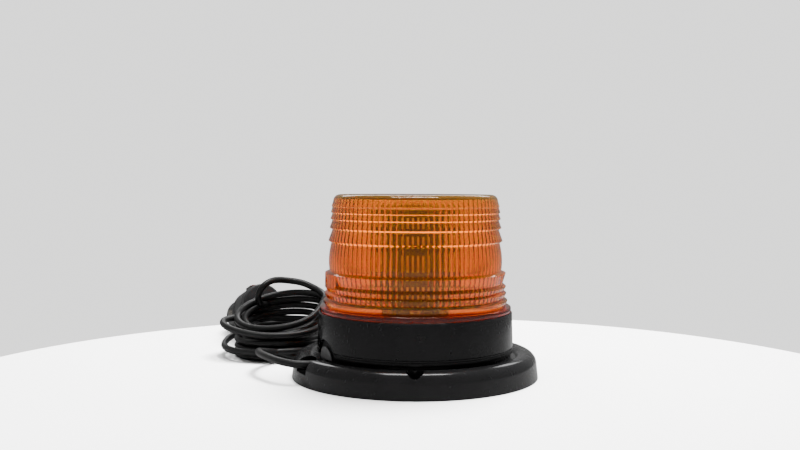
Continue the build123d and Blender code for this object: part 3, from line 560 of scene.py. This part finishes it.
@dataclass(frozen=True)
class LightChip(Finish):
    """Surface-mounted light: a white package with a phosphor dome that stands out beyond it."""

    name: str
    dome_from: float
    upright: bool = False

    def shade(self, graph: Graph) -> None:
        """Builds the shader of the lights, told apart by their distance from the tower."""
        reach = graph.parts().outputs["Z"] if self.upright else graph.reach()
        dome = graph.span(reach, self.dome_from, self.dome_from + 0.0001, 0.0, 1.0)
        grain = Effects.put(graph, Effect.GRAIN, scale=2400.0, patch_scale=300.0)
        body = graph.mix(grain.outputs["Tone"], (0.74, 0.73, 0.68), (0.84, 0.83, 0.78))
        colour = graph.mix(dome, body, (0.86, 0.66, 0.16))
        rough = graph.span(dome, 0.0, 1.0, 0.5, 0.14)
        bump = graph.add("ShaderNodeBump", {"Strength": 0.2, "Distance": 0.00002,
                                            "Height": grain.outputs["Height"]})
        self.surface(graph, Base_Color=colour, Roughness=rough, Normal=bump.outputs["Normal"])


@dataclass(frozen=True)
class Wound(Finish):
    """Enamelled wire wound in close turns about Z."""

    name: str
    colour: Colour = (0.72, 0.26, 0.09)

    def shade(self, graph: Graph) -> None:
        """Builds the shader of the winding."""
        grain = Effects.put(graph, Effect.GRAIN, scale=1500.0, patch_scale=300.0)
        wave = graph.add("ShaderNodeTexWave", {"Vector": graph.place(), "Scale": 420.0, "Distortion": 0.6},
                         wave_type="BANDS", bands_direction="Z")
        # Painted shade: the dark bands between the turns of wire stand for the shade in the grooves between
        # them.
        colour = graph.mix(wave.outputs["Fac"], tinted(self.colour, 0.35), self.colour)
        colour = graph.mix(graph.math("MULTIPLY", grain.outputs["Tone"], 0.2), colour, (0.3, 0.12, 0.05))
        bump = graph.add("ShaderNodeBump", {"Strength": 0.9, "Distance": 0.0002,
                                            "Height": wave.outputs["Fac"]})
        rough = graph.span(grain.outputs["Tone"], 0, 1, 0.25, 0.4)
        self.surface(graph, Base_Color=colour, Metallic=0.85, Roughness=rough, Normal=bump.outputs["Normal"])


BLACK_CASE = Moulded("black_case", (0.0035, 0.0035, 0.0037), roughness=0.2, spread=0.06,
                     grain_height=0.000006, wear=0.0, dust=0.01, specular=0.22)
BLACK_FLANGE = Moulded("black_flange", (0.0045, 0.0045, 0.0047), roughness=0.17, spread=0.06,
                       grain_height=0.000006, wear=0.0, dust=0.02, specular=0.3)
BLACK_RUBBER = Moulded("black_rubber", (0.006, 0.006, 0.006), roughness=0.62, grain_scale=1500.0, wear=0.05,
                       dust=0.04, specular=0.25)
# Painted shade and highlight: the grommet's very dark base colour is shade painted into the port's recess,
# and its lighter outer face is a painted highlight.
GROMMET_RUBBER = Moulded("grommet_rubber", (0.002, 0.002, 0.002), roughness=0.4, grain_scale=1500.0, wear=0.0,
                         dust=0.0, specular=0.12, painted_highlight_r=0.0488)
GREY_RUBBER = Moulded("grey_rubber", (0.16, 0.16, 0.17), roughness=0.6, grain_scale=1500.0, wear=0.1)
CORD_JACKET = Moulded("cord_jacket", (0.0045, 0.0045, 0.0045), roughness=0.36, spread=0.08,
                      grain_scale=1200.0, wear=0.0, dust=0.02, specular=0.3)
PLUG_SHELL = Moulded("plug_shell", (0.012, 0.012, 0.0125), roughness=0.42, wear=0.1, dust=0.05, specular=0.3)
PLUG_CAP = Moulded("plug_cap", (0.009, 0.009, 0.0095), roughness=0.36, wear=0.1, dust=0.05, specular=0.3)
RELIEF = Moulded("relief_rubber", (0.006, 0.006, 0.006), roughness=0.5, grain_scale=1500.0, wear=0.05,
                 dust=0.03, specular=0.25)
ROCKER_RED = Moulded("rocker_red", (0.11, 0.012, 0.012), roughness=0.3, wear=0.1, dust=0.05, specular=0.3)
BEZEL = Moulded("bezel_black", (0.006, 0.006, 0.006), roughness=0.3, wear=0.08, dust=0.03, specular=0.3)
TOWER_PLASTIC = Moulded("tower_plastic", (0.05, 0.042, 0.036), roughness=0.5, wear=0.1)
CAN_SLEEVE = Moulded("can_sleeve", (0.02, 0.05, 0.16), roughness=0.3, wear=0.15)
CHIP_BLACK = Moulded("chip_black", (0.02, 0.02, 0.021), roughness=0.55, grain_scale=3500.0, wear=0.05)
TERMINAL_GREEN = Moulded("terminal_green", (0.02, 0.22, 0.07), roughness=0.4, wear=0.1)
WIRE_RED = Moulded("wire_red", (0.5, 0.02, 0.015), roughness=0.4, wear=0.0)
WIRE_BLACK = Moulded("wire_black", (0.015, 0.015, 0.015), roughness=0.4, wear=0.0)
FERRITE = Moulded("ferrite", (0.035, 0.034, 0.036), roughness=0.48, grain_scale=1800.0, grain_height=0.00005,
                  wear=0.35)
ZINC = Metal("zinc_plate", (0.62, 0.63, 0.62), roughness=0.3)
CUP_STEEL = Metal("cup_steel", (0.56, 0.57, 0.58), roughness=0.34, film_share=0.3)
NICKEL = Metal("nickel_plate", (0.42, 0.4, 0.37), roughness=0.26, film_share=0.4)
SPRING_STEEL = Metal("spring_steel", (0.5, 0.5, 0.5), roughness=0.25, film_share=0.2)
COPPER = Wound("copper_wire")
GREEN_BOARD = Board("driver_green")
STRIP_BOARD = Board("strip_board", mask=(0.05, 0.04, 0.03), track=(0.07, 0.055, 0.04), edge=(0.3, 0.26, 0.2))
SIDE_LIGHT = LightChip("side_light", 0.01722)
TOP_LIGHT = LightChip("top_light", 0.08305, upright=True)
FUSE_GLASS = Clear("fuse_glass", (0.95, 0.97, 0.97), roughness=0.02, ior=1.5)
# The amber's dark red foot band is painted shade, and its bright orange top band is painted light.
AMBER = Clear("amber_plastic", (0.8, 0.4, 0.004), roughness=0.07, ior=1.49,
              depth_colour=(0.995, 0.86, 0.1), depth=600.0, ripple=0.0, share=0.96, specular=0.25,
              painted_shade_colour=(0.36, 0.03, 0.006), low_z=0.0364, painted_light_colour=(1.0, 0.6, 0.05), high_z=0.0895)


# Dressing the nodes that come from the frame

def dress(nodes: Nodes, finish: Finish, *names: str) -> None:
    """Gives a finish to nodes of the frame.

    Args:
        nodes: the nodes by name.
        finish: the finish.
        names: the nodes that take it.
    """
    for name in names:
        mesh = nodes[name].data
        if not mesh.materials:
            mesh.materials.append(finish.material())
        for slot in nodes[name].material_slots:
            slot.material = finish.material()


@dataclass
class Dressed:
    """A sub-assembly of nodes that keep their own shapes, each with its finish."""

    title: str
    finishes: tuple[tuple[Finish, tuple[str, ...]], ...]

    def build(self, nodes: Nodes) -> None:
        """Dresses every node of the sub-assembly.

        Args:
            nodes: the nodes by name.
        """
        for finish, names in self.finishes:
            dress(nodes, finish, *names)
            log.info("%s: %s wears %s", self.title, ", ".join(names), finish.name)


# Lens

def rounded(points: list[Corner], radius: float) -> list[Corner]:
    """Rounds the corners of an outline a little.

    Args:
        points: the corners, as distance from the axis and height.
        radius: how far along each side the rounding starts.

    Returns:
        The outline with three points at each real corner.
    """
    result = [points[0]]
    for before, here, after in zip(points, points[1:], points[2:]):
        run_in = Vector(here) - Vector(before)
        run_out = Vector(after) - Vector(here)
        if run_in.length < 1e-6 or run_out.length < 1e-6 or run_in.angle(run_out) < math.radians(18):
            result.append(here)
            continue
        start = Vector(here) - run_in.normalized() * min(radius, run_in.length * 0.3)
        end = Vector(here) + run_out.normalized() * min(radius, run_out.length * 0.3)
        middle = start * 0.25 + Vector(here) * 0.5 + end * 0.25
        result += [tuple(start), tuple(middle), tuple(end)]
    return result + [points[-1]]


def stepped(first: tuple[float, float], last: tuple[float, float], count: int) -> list[Corner]:
    """Gives points on a straight side, without its last one.

    Args:
        first: where it starts.
        last: where it ends.
        count: how many steps it has.

    Returns:
        The points.
    """
    return [tuple(Vector(first).lerp(Vector(last), k / count)) for k in range(count)]


def through(start: tuple[float, float], middle: tuple[float, float], end: tuple[float, float],
            count: int) -> list[Corner]:
    """Gives points on the smooth curve through three points, without its last one.

    Args:
        start: where it starts.
        middle: a point half way.
        end: where it ends.
        count: how many steps it has.

    Returns:
        The points.
    """
    a, m, b = Vector(start), Vector(middle), Vector(end)
    pull = m * 2 - (a + b) / 2
    shares = [k / count for k in range(count)]
    return [tuple(a * (1 - t) ** 2 + pull * 2 * t * (1 - t) + b * t * t) for t in shares]


@dataclass
class LensCap:
    """The amber cap: ring teeth outside, flutes inside, a grip tab, a flange, and a skirt with three lugs.

    The rings and teeth are corners of the outline, as distance from the axis and height.
    """

    flutes: int = 84
    steps_per_flute: int = 8
    crest_r: float = 40.0
    flute_depth: float = 0.4
    flute_low_z: float = 39.0
    ceiling_z: float = 89.6
    bore_r: float = 42.6
    skirt_r: float = 45.2
    skirt_low_z: float = 24.6
    groove_r: float = 44.2
    groove_z: tuple[float, float] = (31.0, 32.8)
    flange_r: float = 48.6
    flange_z: tuple[float, float] = (33.4, 35.7)
    foot_r: float = 45.6
    top_r: float = 41.8
    top_z: float = 92.0
    corner_r: float = 3.4
    tab_turns: tuple[float, float] = (-88.0, -60.0)
    tab_z: tuple[float, float] = (46.4, 52.4)
    tab_r: float = 45.9
    lug_turns: tuple[float, ...] = (8.0, 128.0, 248.0)
    lug_span: float = 24.0
    lug_z: float = 25.23
    lug_height: float = 1.4
    lug_lead: float = 24.0
    lug_r: float = 46.3
    lug_rows_z: Corner = (24.9, 28.5)
    low_rings: tuple[Corner, ...] = ((46.9, 38.9), (45.0, 40.2), (46.3, 42.6), (44.7, 43.6))
    tab_tooth: tuple[Corner, ...] = ((46.1, 45.9), (44.3, 47.4), (45.9, 52.7))
    band: tuple[Corner, ...] = ((43.6, 53.6), (43.9, 60.5), (42.7, 67.7))
    high_rings: tuple[Corner, ...] = (
        (44.2, 68.7), (42.2, 74.4), (43.6, 75.2), (42.2, 79.1), (43.2, 79.7), (42.2, 82.4), (43.0, 83.0),
        (42.2, 85.5), (42.6, 86.1),
    )
    lid_rings: tuple[float, ...] = (34.0, 28.0, 22.0, 16.0, 10.0, 5.0)
    ceiling_rings: tuple[float, ...] = (5.0, 16.0, 28.0, 36.0, 39.0)
    edge: float = 0.28
    finish: Finish = AMBER

    def outside(self) -> list[Corner]:
        """Gives the outside outline, from the foot of the skirt to the middle of the top.

        Returns:
            Points as distance from the axis and height.
        """
        low_flange, high_flange = self.flange_z
        skirt = [(self.bore_r, self.skirt_low_z), (self.skirt_r, self.skirt_low_z)]
        skirt += stepped((self.skirt_r, self.lug_rows_z[0]), (self.skirt_r, self.lug_rows_z[1]), 10)
        skirt += [(self.skirt_r, self.groove_z[0]), (self.groove_r, self.groove_z[0]),
                  (self.groove_r, self.groove_z[1]), (self.skirt_r, self.groove_z[1]),
                  (self.skirt_r, low_flange), (self.flange_r, low_flange),
                  (self.flange_r, high_flange - 0.4), (self.flange_r - 0.4, high_flange),
                  (self.foot_r, high_flange), *self.low_rings]
        under, root, tip = self.tab_tooth
        tooth = stepped(under, root, 4) + stepped(root, tip, 11) + [tip]
        band = through(*self.band, 12)
        upper = [self.band[-1], *self.high_rings, (self.top_r, self.top_z - self.corner_r)]
        shoulder = []
        for k in range(1, 9):
            bend = math.radians(90 * k / 8)
            shoulder.append((self.top_r - self.corner_r * (1 - math.cos(bend)),
                             self.top_z - self.corner_r * (1 - math.sin(bend))))
        lid = [(r, self.top_z) for r in self.lid_rings]
        return rounded(skirt + tooth + band + upper + shoulder + lid, self.edge)

    def flute(self, share: float) -> float:
        """Gives the radius of the bore across one flute; share runs from 0 to 1 across it."""
        return self.crest_r + self.flute_depth * (1 - (2 * share - 1) ** 2)

    def radius(self, r: float, z: float, turn: float) -> float:
        """Adds the grip tab and the lugs to the outside.

        Args:
            r: the plain radius.
            z: the height.
            turn: the angle from the front, in degrees.

        Returns:
            The radius with the tab and the lugs.
        """
        low, high = self.tab_z
        first, last = self.tab_turns
        if low <= z <= high and first <= turn:
            beyond = max(0.0, math.radians(turn - last) * self.tab_r)
            half = (high - low) / 2
            off_middle = abs(z - (low + high) / 2)
            if beyond <= half and off_middle <= math.sqrt(half * half - beyond * beyond) + 1e-6:
                return max(r, self.tab_r)
        for lug in self.lug_turns:
            along = (turn - lug) % 360
            if along <= self.lug_span:
                foot = self.lug_z + self.lug_lead * along / 360
                if foot <= z <= foot + self.lug_height:
                    return max(r, self.lug_r)
        return r

    def build(self) -> bpy.types.Object:
        """Builds the cap as one closed mesh that turns and lifts with the lens body.

        Returns:
            The cap.
        """
        columns = self.flutes * self.steps_per_flute
        outside = self.outside()
        inside = [(r, self.ceiling_z) for r in self.ceiling_rings]
        verts: list[Point] = []
        rings: list[int] = []

        def ring(make: object) -> None:
            """Adds one ring of points from a function of the column."""
            rings.append(len(verts))
            for column in range(columns):
                turn = 360.0 * column / columns
                signed = turn if turn <= 180 else turn - 360
                r, z = make(column, signed)
                angle = math.radians(turn)
                verts.append((r * math.sin(angle) * MM, -r * math.cos(angle) * MM, z * MM))

        for r, z in outside:
            ring(lambda column, turn, r=r, z=z: (self.radius(r, z, turn), z))
        outer_pole = len(verts)
        verts.append((0.0, 0.0, self.top_z * MM))
        outer_last = rings[-1]
        inner_first = len(rings)
        for r, z in inside:
            ring(lambda column, turn, r=r, z=z: (r, z))
        steps = self.steps_per_flute
        for z in (self.ceiling_z, self.ceiling_z - 0.15, self.flute_low_z + 0.15, self.flute_low_z):
            ring(lambda column, turn, z=z: (self.flute((column % steps) / steps), z))
        ring(lambda column, turn: (self.bore_r - 0.2, self.flute_low_z))
        ring(lambda column, turn: (self.bore_r, self.flute_low_z - 0.2))
        inner_pole = len(verts)
        verts.append((0.0, 0.0, self.ceiling_z * MM))
        faces: list[tuple[int, ...]] = []

        def strip(low: int, high: int) -> None:
            """Joins two rings with quads that face away from the wall."""
            for column in range(columns):
                nxt = (column + 1) % columns
                faces.append((low + column, low + nxt, high + nxt, high + column))

        for low, high in zip(rings[:inner_first], rings[1:inner_first]):
            strip(low, high)
        for low, high in zip(rings[inner_first:], rings[inner_first + 1:]):
            strip(low, high)
        strip(rings[-1], rings[0])
        for column in range(columns):
            nxt = (column + 1) % columns
            faces.append((outer_last + column, outer_last + nxt, outer_pole))
            faces.append((rings[inner_first] + nxt, rings[inner_first] + column, inner_pole))
        mesh = bpy.data.meshes.new("lens_cap")
        mesh.from_pydata(verts, [], faces)
        mesh.polygons.foreach_set("use_smooth", [True] * len(mesh.polygons))
        mesh.set_sharp_from_angle(angle=math.radians(32))
        mesh.materials.append(self.finish.material())
        mesh.update()
        cap = bpy.data.objects.new("lens_cap", mesh)
        bpy.context.scene.collection.objects.link(cap)
        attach(cap, "lens")
        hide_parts("lens")
        log.info("lens: cap of %d faces", len(mesh.polygons))
        return cap


# Cord

def ease(share: float) -> float:
    """Gives a smooth step from 0 to 1."""
    held = min(max(share, 0.0), 1.0)
    return held * held * (3 - 2 * held)


@dataclass(frozen=True)
class Turn:
    """One turn of the coil: its four sides seen from above, and its height at each of them."""

    left: float
    right: float
    near: float
    far: float
    near_z: float
    right_z: float
    far_z: float
    left_z: float

    @classmethod
    def ring(cls, inset: float, z: float) -> "Turn":
        """Gives a level turn.

        Args:
            inset: how far it lies inside the widest ring.
            z: its height.

        Returns:
            The turn.
        """
        return cls(-101.0 + inset, -54.0 - inset, 31.0 + inset, 83.0 - inset, z, z, z, z)

    def values(self) -> tuple[float, ...]:
        """Gives the eight numbers in order."""
        return (self.left, self.right, self.near, self.far,
                self.near_z, self.right_z, self.far_z, self.left_z)


@dataclass
class Cord:
    """The cord: its lead from the notch, its coil and its way into the plug.

    The last entry of turns has no turn of its own: it is what the turn before it rises into.
    """

    radius: float = 1.9
    length: float = 2.4
    steps_per_turn: int = 16
    lead: tuple[Point, ...] = (
        (-44.747, -22.310, 9.4), (-54.591, -27.218, 9.4), (-65.320, -23.628, 10.4), (-72.689, -14.452, 11.0),
        (-79.072, -3.890, 11.2), (-81.697, 7.874, 10.2), (-80.208, 19.232, 7.8), (-75.547, 28.260, 6.2),
    )
    turns: tuple[Turn, ...] = (
        Turn(-105.0, -50.0, 27.1, 87.0, 2.1, 2.1, 2.1, 2.1),
        Turn.ring(0.0, 6.0), Turn.ring(4.0, 6.0), Turn.ring(8.0, 6.0),
        Turn.ring(8.0, 9.9), Turn.ring(4.0, 9.9), Turn.ring(0.0, 9.9),
        Turn(-108.5, -50.0, 27.1, 87.0, 6.0, 8.5, 13.8, 6.8),
        Turn.ring(0.0, 2.1), Turn.ring(4.0, 2.1), Turn.ring(8.0, 2.1), Turn.ring(12.0, 2.1),
        Turn(-89.0, -66.0, 43.0, 71.0, 11.0, 6.0, 9.9, 9.9),
        Turn(-108.6, -50.0, 31.0, 74.0, 14.2, 18.0, 18.0, 19.5),
        Turn(-97.4, -54.5, 35.0, 75.0, 13.9, 20.0, 21.8, 16.9),
        Turn(-101.2, -50.0, 39.0, 74.5, 13.9, 22.0, 25.8, 18.6),
        Turn(-97.4, -50.0, 43.0, 73.5, 14.3, 25.4, 29.5, 20.8),
        Turn(-101.0, -50.5, 37.0, 72.0, 17.6, 28.8, 33.2, 22.4),
        Turn(-101.0, -50.5, 37.0, 72.0, 17.6, 32.6, 33.2, 22.4),
    )
    first_angle: float = 300.0
    crown: tuple[Point, ...] = (
        (-50.6, 54.5, 32.7), (-52.3, 61.0, 33.8), (-56.0, 66.5, 35.4), (-61.3, 70.0, 37.6),
        (-66.8, 71.3, 39.6), (-73.7, 71.0, 40.6), (-79.2, 68.4, 41.4), (-83.7, 63.9, 41.2),
        (-88.2, 59.8, 38.0), (-90.7, 60.2, 32.0),
        (-89.8, 64.9, 27.1), (-86.4, 70.9, 26.8), (-87.0, 76.5, 28.9), (-89.3, 81.8, 27.3),
    )
    exit_point: Point = (-44.747, -22.310, 9.4)
    plug_nodes: tuple[str, ...] = (
        "strain_relief", "plug_shell_upper", "plug_shell_lower", "plug_screw", "rocker_bezel", "rocker",
        "fuse_cap", "tip_contact", "fuse_tube", "fuse_ends", "tip_spring", "spring_seat", "side_contact_1",
        "side_contact_2",
    )
    finish: Finish = CORD_JACKET

    def mixed(self, angle: float, before: float, after: float) -> tuple[float, ...]:
        """Gives the numbers of the coil at an angle, mixed where one turn passes into the next.

        Args:
            angle: degrees from the right side of the first turn.
            before: degrees before the right side at which the change starts.
            after: degrees after it at which the change ends.

        Returns:
            The eight numbers of a turn.
        """
        values = list(self.turns[0].values())
        for number, (old, new) in enumerate(zip(self.turns, self.turns[1:]), start=1):
            share = ease((angle - 360 * number + before) / (before + after))
            values = [v + share * (b - a) for v, a, b in zip(values, old.values(), new.values())]
        return tuple(values)

    def coil_points(self) -> list[Point]:
        """Gives the points of the coil's turns.

        Returns:
            The points in order, in millimetres.
        """
        points = []
        step = 360.0 / self.steps_per_turn
        shrink = (3 + math.cos(math.radians(step))) / 4
        angle = self.first_angle
        while angle <= 360.0 * (len(self.turns) - 1) - step:
            left, right, near, far = self.mixed(angle, 30.0, 30.0)[:4]
            near_z, right_z, far_z, left_z = self.mixed(angle, 60.0, 0.0)[4:]
            way = math.radians(angle)
            x = (left + right) / 2 + (right - left) / 2 / shrink * math.cos(way)
            y = (near + far) / 2 + (far - near) / 2 / shrink * math.sin(way)
            twice = (right_z + left_z - far_z - near_z) / 4
            z = (near_z + right_z + far_z + left_z) / 4 + (far_z - near_z) / 2 * math.sin(way)
            z += (right_z - left_z) / 2 * math.cos(way) + twice * math.cos(2 * way)
            points.append((x, y, z))
            angle += step
        return points

    def build(self, nodes: Nodes) -> bpy.types.Object:
        """Builds the cord as one smooth spline.

        Args:
            nodes: the nodes by name; not used.

        Returns:
            The cord.
        """
        points = [*self.lead, *self.coil_points(), *self.crown]
        curve = bpy.data.curves.new("cord", "CURVE")
        curve.dimensions = "3D"
        spline = curve.splines.new("NURBS")
        spline.points.add(len(points) - 1)
        for control, (x, y, z) in zip(spline.points, points):
            control.co = (x * MM, y * MM, z * MM, 1.0)
        spline.order_u = 3
        spline.use_endpoint_u = True
        spline.resolution_u = 4
        curve.bevel_depth = self.radius * MM
        curve.bevel_resolution = 4
        curve.use_fill_caps = True
        curve.materials.append(self.finish.material())
        cord = bpy.data.objects.new("cord", curve)
        bpy.context.scene.collection.objects.link(cord)
        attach(cord, "root")
        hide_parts("cord_lead", "cord_coil")
        log.info("cord: %d points, %d turns", len(points), len(self.turns) - 1)
        return cord


# Studio

@dataclass
class Studio:
    """The camera, the round white table and the soft lights round it."""

    camera_place: Point = (0.0, -482.7, 96.74)
    pitch: float = 2.409
    roll: float = 0.232
    lens: float = 42.72
    shift: float = -0.0195
    table_r: float = 247.0
    table_place: Point = (0.0, -39.0, 0.0)
    backdrop: Colour = (0.69, 0.69, 0.685)
    seen: float = 2.45
    around: float = 0.45

    def camera(self) -> None:
        """Sets up the camera at the photograph's angle."""
        data = bpy.data.cameras.new("camera")
        data.lens = self.lens
        data.sensor_width = 36.0
        data.shift_x = self.shift
        data.clip_start = 0.01
        camera = bpy.data.objects.new("camera", data)
        place = Matrix.Translation(Vector(self.camera_place) * MM)
        tilt = Matrix.Rotation(math.radians(90 - self.pitch), 4, "X")
        camera.matrix_world = place @ tilt @ Matrix.Rotation(math.radians(self.roll), 4, "Z")
        bpy.context.scene.collection.objects.link(camera)
        bpy.context.scene.camera = camera

    def table(self) -> None:
        """Builds the round table with a soft rim."""
        outline = [(self.table_r, -12.0), (self.table_r, -1.5), (self.table_r - 0.5, -0.4),
                   (self.table_r - 1.5, 0.0)]
        verts: list[Point] = []
        faces: list[tuple[int, ...]] = []
        count = 256
        for r, z in outline:
            for k in range(count):
                angle = math.tau * k / count
                verts.append(((self.table_place[0] + r * math.cos(angle)) * MM,
                              (self.table_place[1] + r * math.sin(angle)) * MM, z * MM))
        for row in range(len(outline) - 1):
            for k in range(count):
                nxt = (k + 1) % count
                low, high = row * count, (row + 1) * count
                faces.append((low + k, low + nxt, high + nxt, high + k))
        faces.append(tuple(range((len(outline) - 1) * count, len(outline) * count)))
        mesh = bpy.data.meshes.new("table")
        mesh.from_pydata(verts, [], faces)
        material = bpy.data.materials.new("table_white")
        material.use_nodes = True
        graph = Graph(material.node_tree)
        patch = graph.noise(graph.place(), 9.0, 3.0, 0.5)
        paint = graph.mix(patch, (0.84, 0.84, 0.84), (0.88, 0.88, 0.875))
        white = graph.add("ShaderNodeBsdfDiffuse", {"Color": paint})
        # Painted reflection: rays that bounce off shiny surfaces see the table as dark grey, so its
        # reflections are painted dimmer than the camera's view of it.
        shade = graph.add("ShaderNodeBsdfDiffuse", {"Color": (0.1, 0.1, 0.1, 1.0)})
        glossy = graph.add("ShaderNodeLightPath").outputs["Is Glossy Ray"]
        both = graph.add("ShaderNodeMixShader", {0: glossy, 1: white.outputs[0], 2: shade.outputs[0]})
        graph.add("ShaderNodeOutputMaterial", {"Surface": both.outputs[0]})
        mesh.materials.append(material)
        table = bpy.data.objects.new("table", mesh)
        bpy.context.scene.collection.objects.link(table)

    def light(self, name: str, place: Point, aim: Point, size: tuple[float, float], power: float,
              mirrored: bool = True) -> None:
        """Adds one soft light.

        Args:
            name: its name.
            place: where it stands, in millimetres.
            aim: the point that it faces.
            size: its width and height, in metres.
            power: its power in watts.
            mirrored: whether it shows in shiny and clear surfaces.
        """
        data = bpy.data.lights.new(name, "AREA")
        data.shape = "RECTANGLE"
        data.size, data.size_y = size
        data.energy = power
        lamp = bpy.data.objects.new(name, data)
        lamp.location = Vector(place) * MM
        lamp.rotation_euler = (Vector(aim) - Vector(place)).to_track_quat("-Z", "Y").to_euler()
        lamp.visible_glossy = mirrored
        lamp.visible_transmission = mirrored
        bpy.context.scene.collection.objects.link(lamp)

    def build(self) -> None:
        """Builds the studio."""
        self.camera()
        self.table()
        world = bpy.data.worlds.new("studio")
        world.use_nodes = True
        graph = Graph(world.node_tree)
        seen = graph.add("ShaderNodeBackground", {"Color": (*self.backdrop, 1.0), "Strength": self.seen})
        around = graph.add("ShaderNodeBackground", {"Color": (*self.backdrop, 1.0), "Strength": self.around})
        ray = graph.add("ShaderNodeLightPath")
        through_clear = graph.math("GREATER_THAN", ray.outputs["Transmission Depth"], 0.5)
        straight = graph.math("MAXIMUM", ray.outputs["Is Camera Ray"], through_clear)
        sky = graph.add("ShaderNodeMixShader", {0: straight, 1: around.outputs[0], 2: seen.outputs[0]})
        graph.add("ShaderNodeOutputWorld", {"Surface": sky.outputs[0]})
        bpy.context.scene.world = world
        self.light("ceiling", (0.0, 60.0, 900.0), (0.0, 0.0, 0.0), (1.5, 1.1), 20.0, mirrored=False)
        self.light("key", (160.0, 290.0, 880.0), (-40.0, 0.0, 0.0), (0.42, 0.32), 54.0, mirrored=False)
        self.light("top_strip", (0.0, 40.0, 900.0), (0.0, 0.0, 0.0), (0.5, 0.12), 6.0)
        self.light("back_strip", (0.0, 760.0, 560.0), (0.0, 0.0, 20.0), (0.9, 0.22), 3.0)
        log.info("studio: camera, table and four lights")


ASSEMBLIES = (
    Dressed("flange", ((BLACK_FLANGE, ("mount_flange",)),)),
    Dressed("magnet foot", ((BLACK_RUBBER, ("magnet_pad",)), (FERRITE, ("magnet",)),
                            (CUP_STEEL, ("magnet_cup",)),
                            (ZINC, ("magnet_bolt", "magnet_washer", "magnet_nut")))),
    Dressed("housing", ((BLACK_CASE, ("housing", "cord_clamp")), (ZINC, ("housing_screws", "clamp_screw")),
                        (GROMMET_RUBBER, ("cable_grommet",)), (GREY_RUBBER, ("lens_seal",)))),
    Dressed("driver", ((GREEN_BOARD, ("driver_board",)), (ZINC, ("board_screws", "tower_screws")),
                       (CAN_SLEEVE, ("smoothing_cans",)), (FERRITE, ("choke_core",)),
                       (COPPER, ("choke_winding",)),
                       (CHIP_BLACK, ("driver_chip", "transistors", "resistors")),
                       (TERMINAL_GREEN, ("terminal",)), (CORD_JACKET, ("cord_inner",)),
                       (WIRE_RED, ("wire_positive",)), (WIRE_BLACK, ("wire_negative",)))),
    Dressed("light tower", ((TOWER_PLASTIC, ("led_core",)), (ZINC, ("top_screw",)),
                            (STRIP_BOARD, ("top_board", *(f"led_board_{n}" for n in range(1, 7)))),
                            (SIDE_LIGHT, tuple(f"leds_{n}" for n in range(1, 7))),
                            (TOP_LIGHT, ("top_leds",)))),
    Dressed("plug", ((PLUG_SHELL, ("plug_shell_upper", "plug_shell_lower")), (ZINC, ("plug_screw",)),
                     (RELIEF, ("strain_relief",)), (BEZEL, ("rocker_bezel",)), (ROCKER_RED, ("rocker",)),
                     (PLUG_CAP, ("fuse_cap",)), (FUSE_GLASS, ("fuse_tube",)),
                     (NICKEL, ("tip_contact", "side_contact_1", "side_contact_2", "fuse_ends")),
                     (SPRING_STEEL, ("tip_spring", "spring_seat")))),
)


def main() -> None:
    """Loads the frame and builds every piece."""
    logging.basicConfig(level=logging.INFO, format="%(message)s")
    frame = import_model()
    nodes = frame["nodes"]
    Studio().build()
    Cord().build(nodes)
    LensCap().build()
    for assembly in ASSEMBLIES:
        assembly.build(nodes)


if __name__ == "__main__":
    main()
